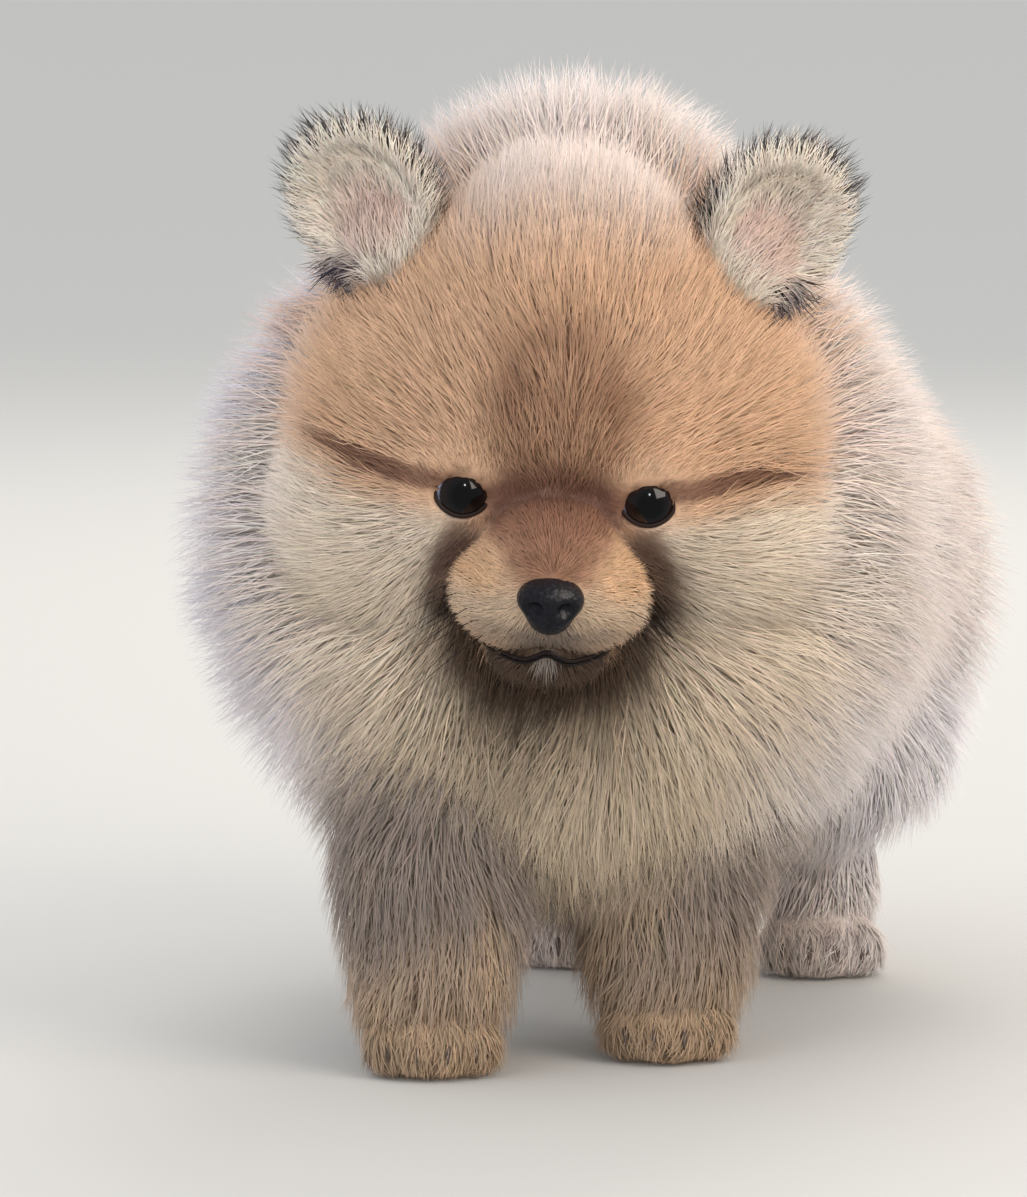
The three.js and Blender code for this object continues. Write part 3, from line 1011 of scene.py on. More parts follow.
class Zone(Enum):
    """Parts of the coat, each with its own pieces."""

    MUZZLE = "muzzle"
    FACE = "face"
    EAR = "ear"
    RUFF = "ruff"
    TORSO = "torso"
    RUMP = "rump"
    TAIL = "tail"
    LEG = "leg"
    PAW = "paw"


ZONE_OF = {
    "head": Zone.FACE, "muzzle": Zone.MUZZLE, "jaw": Zone.MUZZLE, "neck": Zone.RUFF,
    "torso": Zone.TORSO, "rump": Zone.RUMP, "tail": Zone.TAIL,
    **{r.name: Zone.LEG for r in LEGS}, **{r.name: Zone.PAW for r in PAWS},
}


@dataclass(frozen=True)
class Growth:
    """How the tufts of one zone grow, in millimetres.

    Attributes:
        per_area: tufts for each square millimetre of skin.
        run: how far a tuft lies along the skin.
        width: of a tuft at its root.
        stray: how far tufts turn from the lie, in radians.
        lock: how far tips are drawn into broad locks, from 0 to 1.
        wisp: how far they are drawn into fine wisps.
        droop: how far tips sink under their own weight.
    """

    per_area: float
    run: float
    width: float
    stray: float
    lock: float
    wisp: float
    droop: float = 0.0


GROWTHS = {
    Zone.MUZZLE: Growth(5.0, 6.5, 0.28, 0.22, 0.05, 0.2),
    Zone.FACE: Growth(2.6, 15.0, 0.29, 0.2, 0.1, 0.22),
    Zone.EAR: Growth(3.0, 7.0, 0.3, 0.3, 0.1, 0.22),
    Zone.RUFF: Growth(1.4, 25.0, 0.37, 0.26, 0.2, 0.28, 4.0),
    Zone.TORSO: Growth(0.85, 28.0, 0.46, 0.28, 0.2, 0.28, 3.0),
    Zone.RUMP: Growth(0.85, 25.0, 0.46, 0.28, 0.2, 0.28, 3.0),
    Zone.TAIL: Growth(0.9, 20.0, 0.46, 0.3, 0.2, 0.28, 1.0),
    Zone.LEG: Growth(0.8, 16.0, 0.42, 0.3, 0.2, 0.3, 3.0),
    Zone.PAW: Growth(1.5, 8.0, 0.36, 0.3, 0.1, 0.25),
}
LOCK_TUFTS = 70
WISP_TUFTS = 9
TUFT_RINGS = (0.0, 0.52)
TUFT_POINTS = 7
TURNS = ((0, 1), (1, 2), (2, 0))
TUFT_FACES = np.array(
    [(0, 1, 2)]
    + [face for k, m in TURNS for face in ((k, k + 3, m), (m, k + 3, m + 3))]
    + [(k + 3, 6, m + 3) for k, m in TURNS]
)


@dataclass
class Coat:
    """Tufts of hair over the skin, that lie with the coat and reach its outline.

    Attributes:
        skin: the finished skin.
        markings: the coat's colours.
        seed: fixes every random draw.
        reach: least length of a tuft and how much is added at random, as shares of the coat's depth.
        guard_share: share of darker guard hairs, and their tone.
        bend_at: where a tuft bends, as shares of its lift and of its run.
        sway: how far it bends to a side, as a share of its run.
        spread: how far tufts differ in tone and in hue.
        taper: half width of a tuft at its root and what it loses towards its tip, as shares.
        ridge: height of its ridge as a share of its half width.
        bare_eye: half width and half height of the bare skin round the eye.
        patch: half of a tuft's side on the bake map.
        softness: how far a tuft takes the light as the skin under it does.
    """

    skin: bpy.types.Object
    markings: Markings
    seed: int = 7
    reach: tuple[float, float] = (0.74, 0.34)
    guard_share: tuple[float, float] = (0.07, 0.75)
    bend_at: tuple[float, float] = (0.62, 0.24)
    sway: float = 0.1
    spread: tuple[float, float] = (0.08, 0.035)
    taper: tuple[float, float] = (0.5, 0.36)
    ridge: float = 0.8
    bare_eye: tuple[float, float] = (6.2, 5.0)
    patch: float = 0.0014
    softness: float = 0.88

    def build(self) -> list[bpy.types.Object]:
        """Grows every zone.

        Returns:
            The coat's pieces, each under the limit of triangles.
        """
        material = FurFinish().make()
        draw = np.random.default_rng(self.seed)
        roots = self.roots(draw)
        made: list[bpy.types.Object] = []
        for number, zone in enumerate(Zone):
            chosen = np.nonzero(roots["zone"] == number)[0]
            tufts = self.tufts(zone, {key: rows[chosen] for key, rows in roots.items()}, draw)
            order = np.argsort(tufts["place"] @ np.array((1.0, 0.35, 0.1)))
            most = TRIANGLES_A_PIECE // len(TUFT_FACES)
            for index, start in enumerate(range(0, len(order), most)):
                part = order[start : start + most]
                mesh = self.tuft_mesh(
                    f"coat_{zone.value}_{index}", {key: rows[part] for key, rows in tufts.items()})
                made.append(make_piece(mesh, material))
        return made

    def roots(self, draw: np.random.Generator) -> dict[str, Array]:
        """Random roots over the skin, as dense as each zone asks.

        Args:
            draw: the random source.

        Returns:
            Places, normals, bake-map places, zones, depths and ways of the coat at each root.
        """
        mesh = self.skin.data
        mesh.calc_loop_triangles()
        corners = read(mesh.loop_triangles, "vertices", 3, np.int32)
        loops = read(mesh.loop_triangles, "loops", 3, np.int32)
        points = read(mesh.vertices, "co", 3).astype(float) / MM - SHIFT
        normals = read(mesh.vertices, "normal", 3)
        flat = read(mesh.uv_layers[BAKE_MAP].data, "uv", 2)
        a, b, c = (points[corners[:, k]] for k in range(3))
        area = np.linalg.norm(np.cross(b - a, c - a), axis=1) / 2
        middle = (a + b + c) / 3
        zones = self.zones(middle, Ears.at(middle))
        dense = np.array([GROWTHS[zone].per_area for zone in Zone])[zones]
        wanted = area * dense * self.bare(middle)
        number = np.floor(wanted + draw.random(len(corners))).astype(int)
        triangle = np.repeat(np.arange(len(corners)), number)
        u, v = draw.random(len(triangle)), draw.random(len(triangle))
        fold = u + v > 1
        u[fold], v[fold] = 1 - u[fold], 1 - v[fold]
        weights = np.column_stack((1 - u - v, u, v))[:, :, None]
        place = (points[corners[triangle]] * weights).sum(1)
        normal = unit((normals[corners[triangle]] * weights).sum(1))
        uv = (flat[loops[triangle]] * weights).sum(1)
        ears = Ears.at(place)
        return {"place": place, "normal": normal, "uv": uv, "zone": zones[triangle],
                "depth": self.depth(place, ears), "way": self.way(place, normal, ears)}

    def zones(self, places: Array, ears: Ears) -> Array:
        """Zones of places.

        Args:
            places: roots on the skin.
            ears: where they lie on the ears.

        Returns:
            The number of each place's zone in the Zone list.
        """
        order = list(Zone)
        gaps = np.array([region.distance(places) for region in REGIONS])
        zones = np.array([order.index(ZONE_OF[r.name]) for r in REGIONS])[np.argmin(gaps, axis=0)]
        zones[ears.share > 0.5] = order.index(Zone.EAR)
        return zones

    def bare(self, places: Array) -> Array:
        """Where nothing grows: in the eye's opening, on the nose and on the soles.

        Args:
            places: on the skin.

        Returns:
            0 where nothing grows and 1 elsewhere.
        """
        from_eye = folded(places) - EYE_LOCAL
        width, height = self.bare_eye
        across = np.hypot(from_eye[:, 0] / width, (from_eye[:, 2] - LID_RISE) / height)
        in_eye = (across < 1) & (from_eye[:, 1] < 0) & (np.linalg.norm(from_eye, axis=1) < 12)
        in_nose = NOSE.distance(places, 1) < 0.2
        return np.where(in_eye | in_nose | (places[:, 2] < SOLE_HEIGHT), 0.0, 1.0)

    def depth(self, places: Array, ears: Ears) -> Array:
        """Depth of the coat over each place, out to its outline.

        Args:
            places: roots on the skin.
            ears: where they lie on the ears.

        Returns:
            Millimetres.
        """
        face = folded(places)
        depth = np.maximum(-np.min([region.distance(places, 1.0) for region in REGIONS], axis=0), 0.6)
        depth *= 1 - 0.3 * crease(face, 2.6)
        depth *= 1 - 0.4 * mouth_band(places)
        depth *= 0.1 + 0.9 * smooth(7.5, 18, off_eye(face))
        fringe = ears.rim * smooth(-2, 1, ears.local[:, 1]) * smooth(-16, -4, ears.local[:, 2])
        on_ear = 1.8 + 5.6 * fringe + 3.0 * ears.corner
        return depth * (1 - ears.share) + on_ear * ears.share

    def run(self, zone: Zone, places: Array) -> Array:
        """How far the tufts lie along the skin: short by the eyes, the mouth and the nose.

        Args:
            zone: theirs.
            places: their roots.

        Returns:
            Millimetres.
        """
        face = folded(places)
        run = GROWTHS[zone].run * (0.22 + 0.78 * smooth(8, 22, off_eye(face)))
        run *= 1 - 0.7 * mouth_band(places)
        if zone is Zone.FACE:
            run *= 0.4 + 0.6 * smooth(-38, -12, face[:, 1])
        if zone is Zone.MUZZLE:
            run *= 0.5 + 1.1 * smooth(9, 26, np.linalg.norm(face - NOSE_LOCAL, axis=1))
        return run

    def way(self, places: Array, normals: Array, ears: Ears) -> Array:
        """Which way the coat lies: away from the face, down the legs and up the ears.

        Args:
            places: roots on the skin.
            normals: the skin's normals there.
            ears: where they lie on the ears.

        Returns:
            Directions along the skin.
        """
        head, rump = HEAD_POSE[:3, :3], RUMP_POSE[:3, :3]
        local, behind = unplaced(HEAD_POSE, places), unplaced(RUMP_POSE, places)
        face = placed(HEAD_POSE, np.array((0, -40.0, -8.0))[None])
        mirror = np.sign(local[:, :1]) * (1, 0, 0) + np.array((0, 1, 1))
        pushed = 2.5 * np.exp(-((off_eye(folded(places)) / 10) ** 2))[:, None]
        around = pushed * unit(local - LIDS_LOCAL * mirror)
        ways = {
            "head": (unit(local - (0, -40, -8)) + (0, 0.2, 0.1) + around) @ head.T,
            "muzzle": (unit(local - (0, -50, -8)) + (0, 0.3, -0.15) + around) @ head.T,
            "jaw": np.array((0, 0.5, -0.6)) @ head.T,
            "neck": unit(places - face) + (0, 0.3, -0.45),
            "torso": np.array((math.sin(BODY_YAW), 1, -0.7)),
            "rump": np.array((0, 1, -0.8)) @ rump.T,
            "tail": (unit(behind - (0, 34, 12)) + (0, -0.6, 0)) @ rump.T,
            **{r.name: np.array((0, 0.3, -1.0)) for r in LEGS},
            **{r.name: np.array((0, -0.7, -0.8)) for r in PAWS},
        }
        total = np.zeros_like(places)
        for region in REGIONS:
            pull = np.exp(-np.clip(region.distance(places), 0, 60) / 5)[:, None]
            total += pull * unit(ways[region.name])
        out = np.column_stack((ears.local[:, 0] / 18, 0.25 * ears.rim - 0.15, np.full(len(places), 0.75)))
        out = (out + ears.corner[:, None] * (2.0, 0, -2.0)) * np.column_stack(
            (ears.side, np.ones((len(places), 2))))
        for sign in SIDES.values():
            own = (ears.share > 0.3) & (ears.side == sign)
            total[own] = (unit(out) @ ear_pose(sign)[:3, :3].T)[own]
        return unit(total - (total * normals).sum(1, keepdims=True) * normals)

    def tufts(self, zone: Zone, roots: dict[str, Array], draw: np.random.Generator) -> dict[str, Array]:
        """Curves, widths and colours of one zone's tufts.

        Args:
            zone: the zone.
            roots: what `roots` found there.
            draw: the random source.

        Returns:
            Root, bend and tip of each tuft with its normal, width, colour and bake-map place.
        """
        growth = GROWTHS[zone]
        place, normal, way = (roots[key] for key in ("place", "normal", "way"))
        number = len(place)
        turn = 0.3 * waves(place, 26, 5) + growth.stray * draw.normal(size=number)
        across = np.cross(normal, way)
        way = way * np.cos(turn)[:, None] + across * np.sin(turn)[:, None]
        least, more = self.reach
        reach = (least + more * draw.random(number) ** 0.8)[:, None]
        run = self.run(zone, place)[:, None]
        lift = normal * roots["depth"][:, None] * reach
        tip = place + lift + way * run * reach
        tip[:, 2] -= growth.droop * draw.random(number)
        tip = self.drawn_together(place, tip, LOCK_TUFTS, growth.lock, draw)
        tip = self.drawn_together(place, tip, WISP_TUFTS, growth.wisp, draw)
        sway = across * run * self.sway * draw.normal(size=(number, 1))
        lifted, ahead = self.bend_at
        bend = place + lift * lifted + way * run * ahead + sway
        tip[:, 2] = np.maximum(tip[:, 2], 0.6)
        bend[:, 2] = np.maximum(bend[:, 2], 0.8)
        guard_share, guard_tone = self.guard_share
        tone_spread, hue_spread = self.spread
        colour = self.markings.paint(place, Ears.at(place))
        colour *= (1 + tone_spread * draw.normal(size=number)).clip(0.65, 1.35)[:, None]
        colour *= np.where(draw.random(number) < guard_share, guard_tone, 1.0)[:, None]
        colour *= 1 + hue_spread * draw.normal(size=(number, 3)) * (1, 0.4, 1)
        width = growth.width * (0.7 + 0.6 * draw.random(number))
        return {"place": place, "bend": bend, "tip": tip, "normal": normal, "width": width[:, None],
                "colour": colour, "uv": roots["uv"]}

    def drawn_together(
        self, place: Array, tip: Array, members: int, pull: float, draw: np.random.Generator
    ) -> Array:
        """Draws the tips of neighbours together, so that the coat falls in locks.

        Args:
            place: roots.
            tip: tips.
            members: tufts in a lock.
            pull: how far tips are drawn to the lock's own, from 0 to 1.
            draw: the random source.

        Returns:
            The new tips.
        """
        number = len(place)
        picks = draw.permutation(number)[: max(number // members, 1)]
        tree = kdtree.KDTree(len(picks))
        for k, index in enumerate(picks):
            tree.insert(place[index], k)
        tree.balance()
        nearest = picks[[tree.find(p)[1] for p in place]]
        amount = (pull * draw.random(number) ** 0.5)[:, None]
        return tip + (tip[nearest] - tip) * amount

    def tuft_mesh(self, name: str, tufts: dict[str, Array]) -> bpy.types.Mesh:
        """Closed, flat, tapered tufts with a ridge along the outer side.

        Args:
            name: the mesh's name.
            tufts: what `tufts` found for them.

        Returns:
            One mesh of all the tufts.
        """
        place, bend, tip, normal, width, colour, uv = tufts.values()
        number = len(place)
        points, tones = np.empty((2, number, TUFT_POINTS, 3))
        patch = np.empty((number, TUFT_POINTS, 2))
        at_root, lost = self.taper
        for i, t in enumerate(TUFT_RINGS):
            middle = (1 - t) ** 2 * place + 2 * t * (1 - t) * bend + t**2 * tip
            along = unit((1 - t) * (bend - place) + t * (tip - bend))
            side = unit(np.cross(along, normal + 0.01))
            half = width * (at_root - lost * t)
            ring = slice(3 * i, 3 * i + 3)
            points[:, 3 * i] = middle - side * half
            points[:, 3 * i + 1] = middle + side * half
            points[:, 3 * i + 2] = middle + np.cross(side, along) * half * self.ridge
            # Painted shade: each tuft is darker at its root, deep in the coat, and lighter towards its tip.
            tones[:, ring] = (colour * (0.9 + 0.15 * t))[:, None]
            patch[:, ring, 0] = self.patch * np.array((-1, 1, 0))
            patch[:, ring, 1] = self.patch * 2 * (t - 0.5)
        points[:, -1], tones[:, -1], patch[:, -1] = tip, colour * 1.05, (0, self.patch)
        faces = (TUFT_FACES[None] + TUFT_POINTS * np.arange(number)[:, None, None]).reshape(-1, 3)
        mesh = make_mesh(name, (to_metres(points.reshape(-1, 3)), faces))
        write_colour(mesh, tones.reshape(-1, 3))
        layer = mesh.uv_layers.new(name=BAKE_MAP)
        flat = (patch + uv[:, None]).reshape(-1, 2)[faces.ravel()]
        layer.data.foreach_set("uv", np.clip(flat, 0, 1).astype(np.float32).ravel())
        soft, own = np.repeat(normal, TUFT_POINTS, 0), read(mesh.vertices, "normal", 3)
        mesh.normals_split_custom_set_from_vertices(unit(self.softness * soft + (1 - self.softness) * own))
        return mesh


def grid(rows: int, sides: int, ring: bool) -> Array:
    """Triangles between rows of points, each row closed into a loop.

    Args:
        rows: number of rows.
        sides: points of each.
        ring: joins the last row to the first.

    Returns:
        Three corners of each triangle.
    """
    i, k = np.meshgrid(np.arange(rows if ring else rows - 1), np.arange(sides), indexing="ij")
    j, m = (i + 1) % rows, (k + 1) % sides
    a, b, c, d = i * sides + k, i * sides + m, j * sides + m, j * sides + k
    return np.stack((a, b, c, a, c, d), axis=-1).reshape(-1, 3)


def tube(points: Array, radii: Array, sides: int) -> Shell:
    """Round tube through points, capped at both ends.

    Args:
        points: places along the middle.
        radii: the tube's radius at each.
        sides: points round the tube.

    Returns:
        Points and triangles.
    """
    along = unit(np.roll(points, -1, 0) - np.roll(points, 1, 0))
    along[0], along[-1] = unit(points[1] - points[0]), unit(points[-1] - points[-2])
    side = unit(np.cross(along, np.array((0.03, 1.0, 0.02))))
    up = np.cross(side, along)
    angles = (2 * math.pi * np.arange(sides) / sides)[None, :, None]
    round_it = side[:, None] * np.cos(angles) + up[:, None] * np.sin(angles)
    rings = points[:, None] + radii[:, None, None] * round_it
    first, end = len(points) * sides, (len(points) - 1) * sides
    k = np.arange(sides)
    m = (k + 1) % sides
    caps = np.stack((k * 0 + first, k, m, k * 0 + first + 1, end + m, end + k), axis=-1).reshape(-1, 3)
    faces = grid(len(points), sides, False)[:, (0, 2, 1)]
    return np.concatenate((rings.reshape(-1, 3), points[:1], points[-1:])), np.concatenate((faces, caps))


@dataclass
class Eye:
    """Eyeball with a cornea that stands a little proud, and the lids round it.

    Attributes:
        side: 1 for the left eye and -1 for the right one.
        gaze: how far the iris is turned from straight ahead, in degrees across and up.
        tones: sRGB hex colours of the white, the iris' middle and its edge.
        cornea: how far it stands proud of the ball, and its spread in degrees.
        pupil_edge: angle from the gaze to the edge of the pupil.
        iris_edge: angle from the gaze to the edge of the iris.
        half_width: of the opening between the lids.
        half_height: the same, upwards.
        section: of the lids, as pairs of how far out and how far proud of the ball.
    """

    name: str
    side: float
    gaze: tuple[float, float] = (5.0, 16.0)
    tones: tuple[str, str, str] = ("#9FA6BE", "#0A090D", "#1E1412")
    cornea: tuple[float, float] = (0.45, 30.0)
    pupil_edge: float = 24.0
    iris_edge: float = 46.0
    half_width: float = 5.2
    half_height: float = 4.1
    section: tuple[tuple[float, float], ...] = (
        (-0.1, -0.3), (0.0, 0.25), (0.2, 0.45), (0.5, 0.52), (0.9, 0.42), (1.3, -0.6))

    def build(self) -> list[bpy.types.Object]:
        """The eyeball and its ring of lids."""
        return [self.eyeball(), self.lids()]

    def eyeball(self) -> bpy.types.Object:
        """Ball with pupil, iris and white by the angle from its gaze.

        Returns:
            The piece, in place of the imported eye.
        """
        rays, faces = ball(5)
        across, up = (math.radians(angle) for angle in self.gaze)
        gaze = unit(np.array((math.sin(across), -math.cos(across), math.sin(up))))
        angle = np.degrees(np.arccos(np.clip(rays @ gaze, -1, 1)))
        proud, spread = self.cornea
        points = rays * (EYE_RADIUS + proud * np.exp(-((angle / spread) ** 2)))[:, None]
        white, dark, brown = (hex_colour(tone) for tone in self.tones)
        iris = dark + (brown - dark) * smooth(22, 40, angle)[:, None]
        colour = white + (iris - white) * smooth(self.iris_edge + 3, self.iris_edge - 1, angle)[:, None]
        centre = EYE_LOCAL * (self.side, 1, 1)
        mesh = make_mesh(f"eyeball_{self.name}", (to_metres(placed(HEAD_POSE, centre + points)), faces))
        pupil = smooth(self.pupil_edge, self.pupil_edge - 4, angle)
        write_colour(mesh, colour * (1 - 0.95 * pupil)[:, None])
        made = make_piece(mesh, EyeFinish().make())
        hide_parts(f"eye_{self.name}")
        return made

    def lids(self) -> bpy.types.Object:
        """Both lids as one ring of bare skin on the ball, drawn out at the inner corner.

        Returns:
            The piece.
        """
        angle = np.linspace(0, 2 * math.pi, 72, endpoint=False)
        inner = np.clip(-np.cos(angle), 0, 1) ** 6
        loops = []
        for out, proud in self.section:
            x = np.cos(angle) * (self.half_width + out) - inner * 0.5
            z = np.sin(angle) * (self.half_height + out) * (1 - 0.2 * inner) - inner * 0.3 + LID_RISE
            y = -np.sqrt(np.maximum((EYE_RADIUS + 0.1 + proud) ** 2 - x**2 - z**2, 4))
            loops.append(np.column_stack((x * self.side, y, z)))
        points = np.stack(loops, axis=1).reshape(-1, 3) + EYE_LOCAL * (self.side, 1, 1)
        faces = grid(len(angle), len(self.section), True)[:, :: int(self.side)]
        mesh = make_mesh(f"lids_{self.name}", (to_metres(placed(HEAD_POSE, points)), faces))
        return make_piece(mesh, RimFinish(f"lid_skin_{self.name}", ("#2A1913",)).make())


@dataclass
class Face:
    """Nose leather, lips, whiskers and lashes.

    Attributes:
        lip_line: the right half of the mouth's line, from its corner to the middle.
        lip_radius: of each lip at its middle.
        whisker_radius: at the root.
        whisker_length: shortest and longest.
        lash_radius: at the root.
        lash_length: shortest and longest.
    """

    lip_line: tuple[Triple, ...] = (
        (-16.5, -22, -26.5), (-12.5, -33, -28.5), (-5, -41, -28), (0, -42.5, -25.5))
    lip_radius: float = 0.42
    whisker_radius: float = 0.13
    whisker_length: tuple[float, float] = (15, 24)
    lash_radius: float = 0.07
    lash_length: tuple[float, float] = (2.2, 3.2)

    def build(self) -> list[bpy.types.Object]:
        """Builds the pieces of the face that aren't eyes."""
        return [self.nose(), self.lips(),
                self.bristles("whiskers", self.whisker_lines(), self.whisker_radius),
                self.bristles("lashes", self.lash_lines(), self.lash_radius)]

    def nose(self) -> bpy.types.Object:
        """Nose leather with two nostrils and the groove between them.

        Returns:
            The piece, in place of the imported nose.
        """
        points, faces = NOSE.shell(1.0, 6, 20.0)
        made = make_piece(make_mesh("nose_leather", (to_metres(points), faces)), NoseFinish().make())
        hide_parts("nose")
        return made

    def lips(self) -> bpy.types.Object:
        """Dark rim of the mouth, upper and lower.

        Returns:
            The piece.
        """
        line = np.array(self.lip_line + tuple((-x, y, z) for x, y, z in self.lip_line[-2::-1]), float)
        t = np.linspace(0, len(line) - 1, 60)
        middle = np.column_stack([self.curve(line[:, k], t) for k in range(3)])
        radii = self.lip_radius * (0.35 + 0.65 * np.sin(np.linspace(0, math.pi, 60)))
        steps = ((0, 0, -0.6), (0, 1.0, -2.0))
        points, faces = joined([tube(middle + np.array(step), radii, 10) for step in steps])
        mesh = make_mesh("lips", (to_metres(placed(HEAD_POSE, points)), faces))
        return make_piece(mesh, RimFinish("lip_skin", ("#1D1311",), roughness=0.38).make())

    @staticmethod
    def curve(values: Array, t: Array) -> Array:
        """Smooth curve through values.

        Args:
            values: one unit of t apart.
            t: where the curve is asked for.

        Returns:
            The curve's value at each t.
        """
        padded = np.concatenate((2 * values[:1] - values[1:2], values, 2 * values[-1:] - values[-2:-1]))
        i = np.clip(t.astype(int), 0, len(values) - 2)
        f = t - i
        a, b, c, d = (padded[i + k] for k in range(4))
        return b + 0.5 * f * (c - a + f * (2 * a - 5 * b + 4 * c - d + f * (3 * (b - c) + d - a)))

    def whisker_lines(self) -> list[Array]:
        """Fine curved bristles in three rows on both sides of the muzzle.

        Returns:
            Points of each, in the puppy's frame.
        """
        draw = np.random.default_rng(19)
        lines = []
        for side in SIDES.values():
            for row in range(3):
                for place in range(4):
                    root = np.array((side * (13 + 1.6 * place), -38 + 4.4 * place, -17 - 4.2 * row))
                    out = unit(np.array((side * 1.0, 0.12 * place - 0.1, -0.35 - 0.25 * row)))
                    lines.append(self.bristle(root, out, draw.uniform(*self.whisker_length), draw))
        return lines

    def lash_lines(self) -> list[Array]:
        """Short lashes along each upper lid.

        Returns:
            Points of each, in the puppy's frame.
        """
        draw = np.random.default_rng(29)
        lines = []
        for side in SIDES.values():
            for angle in np.radians(np.linspace(25, 155, 26)):
                x, z = 5.7 * math.cos(angle), 4.6 * math.sin(angle) + LID_RISE
                y = -math.sqrt(max((EYE_RADIUS + 0.6) ** 2 - x**2 - z**2, 1))
                root = EYE_LOCAL * (side, 1, 1) + (x * side, y, z)
                out = unit(np.array((0.4 * x * side / 5, -0.7, 0.55)))
                lines.append(self.bristle(root, out, draw.uniform(*self.lash_length), draw))
        return lines

    @staticmethod
    def bristle(root: Array, out: Array, length: float, draw: np.random.Generator) -> Array:
        """A bristle that droops under its own weight.

        Args:
            root: where it starts, in the head's frame.
            out: its way there.
            length: its length in millimetres.
            draw: the random source.

        Returns:
            Eight points in the puppy's frame.
        """
        t = np.linspace(0, 1, 8)[:, None]
        sway = draw.normal(size=3) * 0.08
        droop = np.array((0, 0.1, -0.28)) * length
        return placed(HEAD_POSE, root + (out + sway) * length * t + droop * t**2)

    def bristles(self, name: str, lines: list[Array], radius: float) -> bpy.types.Object:
        """Turns lines of points into thin tapered bristles with a tree of geometry nodes.

        Args:
            name: the piece's name.
            lines: points of each bristle, in the puppy's frame.
            radius: radius at the root, in millimetres.

        Returns:
            The piece as a plain mesh.
        """
        points = to_metres(np.concatenate(lines))
        each = len(lines[0])
        edges = [(k, k + 1) for k in range(len(points) - 1) if (k + 1) % each]
        mesh = bpy.data.meshes.new(name)
        mesh.from_pydata(points.tolist(), edges, [])
        made = make_piece(mesh)
        tree = bristle_tree(RimFinish(f"{name}_hair", ("#241A17",), roughness=0.5).make())
        modifier = made.modifiers.new("bristles", "NODES")
        modifier.node_group = tree
        sockets = {item.name: item.identifier for item in tree.interface.items_tree}
        modifier[sockets["Root radius"]] = radius * MM
        return settle(made)


def bristle_tree(material: bpy.types.Material) -> bpy.types.NodeTree:
    """Tree that turns the edges of a mesh into tapered bristles.

    Args:
        material: the bristles' finish.

    Returns:
        The tree, with the inputs Geometry and Root radius.
    """
    tree = bpy.data.node_groups.new("bristles", "GeometryNodeTree")
    tree.interface.new_socket("Geometry", in_out="INPUT", socket_type="NodeSocketGeometry")
    tree.interface.new_socket("Root radius", in_out="INPUT", socket_type="NodeSocketFloat")
    tree.interface.new_socket("Geometry", in_out="OUTPUT", socket_type="NodeSocketGeometry")
    kinds = (
        "NodeGroupInput", "GeometryNodeMeshToCurve", "GeometryNodeSplineParameter", "ShaderNodeMapRange",
        "GeometryNodeCurvePrimitiveCircle", "GeometryNodeCurveToMesh", "GeometryNodeRealizeInstances",
        "GeometryNodeSetMaterial", "NodeGroupOutput")
    start, curve, along, taper, profile, sweep, realize, paint, end = (tree.nodes.new(kind) for kind in kinds)
    for node, name, value in (
        (taper, "To Min", 1.0), (taper, "To Max", 0.15), (profile, "Resolution", 5),
        (sweep, "Fill Caps", True), (paint, "Material", material),
    ):
        node.inputs[name].default_value = value
    for source, output, target, name in (
        (start, "Geometry", curve, "Mesh"), (along, "Factor", taper, "Value"),
        (start, "Root radius", profile, "Radius"), (curve, "Curve", sweep, "Curve"),
        (profile, "Curve", sweep, "Profile Curve"), (taper, "Result", sweep, "Scale"),
        (sweep, "Mesh", realize, "Geometry"), (realize, "Geometry", paint, "Geometry"),
        (paint, "Geometry", end, "Geometry"),
    ):
        tree.links.new(source.outputs[output], target.inputs[name])
    return tree


@dataclass
class Claws:
    """Short curved claws, four on each paw."""

    length: float = 4.6
    radius: float = 1.1

    def build(self) -> list[bpy.types.Object]:
        """Builds the claws.

        Returns:
            One piece of four claws for each paw.
        """
        material = HornFinish().make()
        made = []
        for region in PAWS:
            points, faces = joined([self.claw(toe) for toe in region.masses[1:]])
            points[:, 2] = np.maximum(points[:, 2], 0.3)
            made.append(make_piece(make_mesh(f"claws_{region.name}", (to_metres(points), faces)), material))
        return made

    def claw(self, toe: Mass) -> Shell:
        """Claw that curves down from the front of a toe.

        Args:
            toe: the toe's mass.

        Returns:
            Points in the puppy's frame and triangles.
        """
        root = np.array(toe.middle) + (0, -toe.flesh[1] + 1.4, 1.2)
        t = np.linspace(0, 1, 8)[:, None]
        ahead, down = np.array((0, -1.0, 0.15)), np.array((0, 0.2, -0.85))
        line = root + ahead * self.length * t + down * (self.length * t**2)
        return tube(line, self.radius * (1 - 0.85 * t[:, 0] ** 1.4), 8)


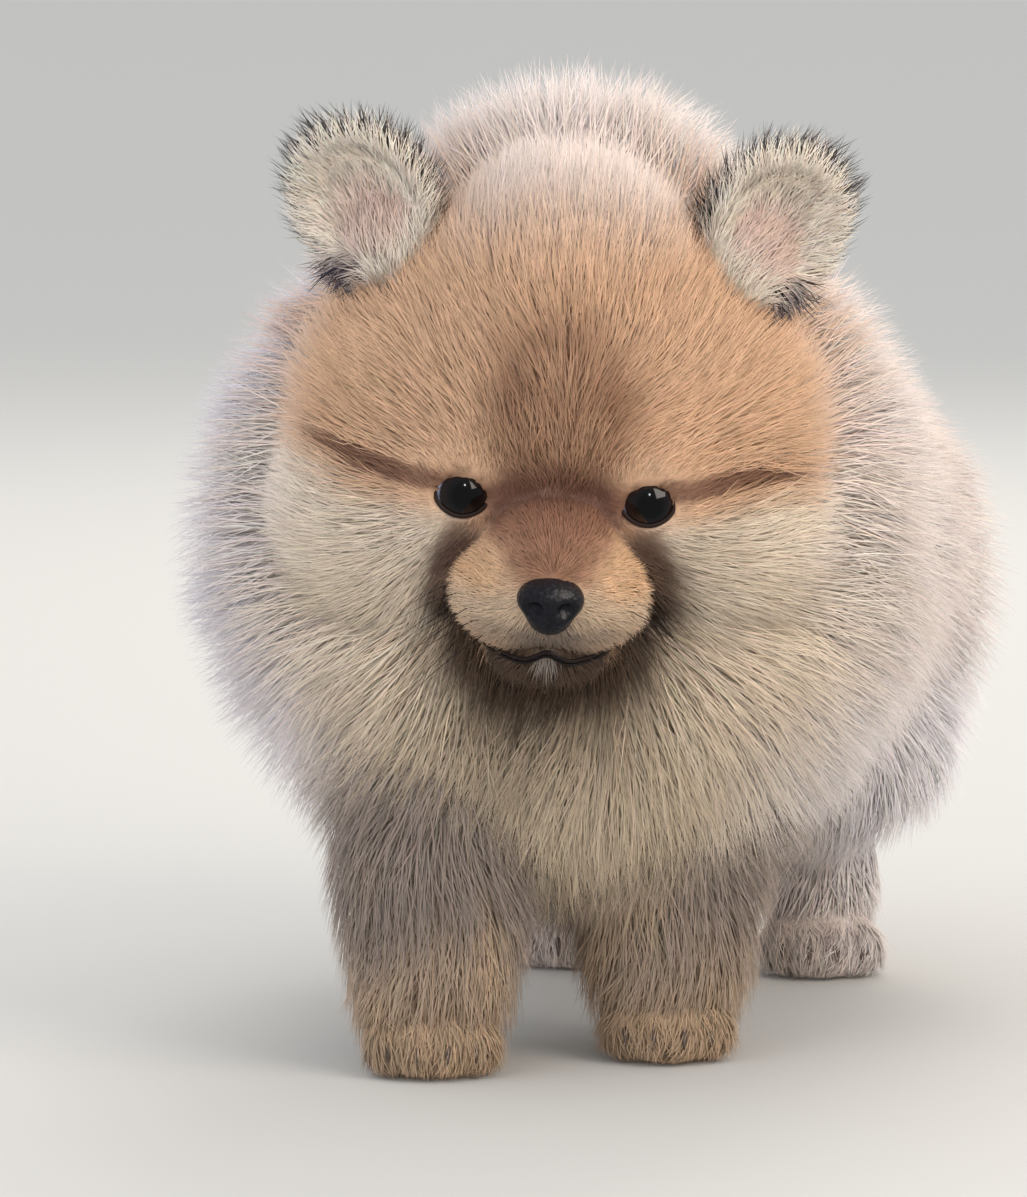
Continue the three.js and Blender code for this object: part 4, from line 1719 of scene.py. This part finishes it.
@dataclass
class Studio:
    """Pale floor, soft lights and the camera, at the photograph's angle.

    Attributes:
        aim: the point at the middle of the picture, in the puppy's frame.
        distance: of the camera from it, in millimetres.
        elevation: of the camera above the horizon.
        height: that the picture takes in at that point.
        sky: the sky's colour.
        sky_strength: its brightness, and its share in what is glossy.
        floor_size: half of the floor's side, in metres.
    """

    aim: Triple = (-8.3, -52.0, 102.3)
    distance: float = 1200.0
    elevation: float = math.radians(6)
    height: float = 239.4
    sky: str = "#F1F3F6"
    sky_strength: tuple[float, float] = (1.1, 0.2)
    floor_size: float = 60.0

    def build(self) -> None:
        """Builds floor, lights, sky and camera."""
        self.camera()
        self.floor()
        self.light("key", (0.95, -0.8, 0.9), 0.9, 10.0, "#FFF4E8")
        self.light("fill", (-1.1, -0.9, 0.6), 1.2, 5.5, "#EAF1FF").visible_glossy = False
        self.light("back", (0.3, 1.2, 1.2), 0.9, 10.0, "#FFF8F0")
        self.light("spark", (0.1, -1.1, 0.75), 0.12, 0.8, "#FFFFFF").visible_diffuse = False
        self.world()
        bpy.context.scene.view_settings.view_transform = "Standard"

    def world(self) -> None:
        """Pale sky that lights the coat and hardly shows in what is glossy."""
        world = bpy.data.worlds.new("studio")
        world.use_nodes = True
        tree = world.node_tree
        background = tree.nodes["Background"]
        background.inputs["Color"].default_value = (*hex_colour(self.sky), 1)
        rays = tree.nodes.new("ShaderNodeLightPath")
        strength = tree.nodes.new("ShaderNodeMapRange")
        bright, in_gloss = self.sky_strength
        strength.inputs["To Min"].default_value = bright
        strength.inputs["To Max"].default_value = bright * in_gloss
        tree.links.new(rays.outputs["Is Glossy Ray"], strength.inputs["Value"])
        tree.links.new(strength.outputs["Result"], background.inputs["Strength"])
        bpy.context.scene.world = world

    def camera(self) -> None:
        """Camera in front of the face and a little above it."""
        data = bpy.data.cameras.new("camera")
        data.sensor_fit = "VERTICAL"
        data.angle = 2 * math.atan(self.height / 2 / self.distance)
        made = bpy.data.objects.new("camera", data)
        bpy.context.scene.collection.objects.link(made)
        back = np.array((0, -math.cos(self.elevation), math.sin(self.elevation)))
        made.location = to_metres(np.array(self.aim)) + back * self.distance * MM
        made.rotation_euler = Vector(-back).to_track_quat("-Z", "Y").to_euler()
        bpy.context.scene.camera = made

    def floor(self) -> None:
        """Large pale matt floor."""
        corners = self.floor_size * np.array([(-1, -1, 0), (1, -1, 0), (1, 1, 0), (-1, 1, 0)])
        shader = Shader("pale_floor")
        shader.fill(shader.main, {"Base Color": (*hex_colour("#CCCAC5"), 1), "Roughness": 0.9})
        floor = make_piece(make_mesh("floor", (corners, np.array([(0, 1, 2, 3)]))), shader.material)
        floor.visible_glossy = False

    def light(self, name: str, place: Triple, size: float, power: float, tint: str) -> bpy.types.Object:
        """Soft square light that faces the puppy.

        Args:
            name: the light's name.
            place: where it is, in metres.
            size: its side in metres.
            power: its power in watts.
            tint: its colour.

        Returns:
            The light.
        """
        data = bpy.data.lights.new(name, "AREA")
        data.size = size
        data.energy = power
        data.color = hex_colour(tint)
        made = bpy.data.objects.new(name, data)
        made.location = place
        made.rotation_euler = (Vector((0, 0, 0.11)) - Vector(place)).to_track_quat("-Z", "Y").to_euler()
        bpy.context.scene.collection.objects.link(made)
        return made


def main() -> None:
    """Builds every piece in order, ties it to the body, and logs it."""
    logging.basicConfig(level=logging.INFO, format="%(message)s")
    Studio().build()
    markings = Markings()
    skin = Skin(markings).build()
    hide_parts(*FLESH_NODES)
    slots = {
        "coat": [*Coat(skin, markings).build(), skin],
        "eye": [made for name, side in SIDES.items() for made in Eye(name, side).build()],
        "nose_leather": Face().build(),
        "paw_fur": Claws().build(),
    }
    for slot, pieces in slots.items():
        for made in pieces:
            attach(made, BODY)
            LOG.info("%s: %d points, %d faces", made.name, len(made.data.vertices), len(made.data.polygons))


if __name__ == "__main__":
    main()
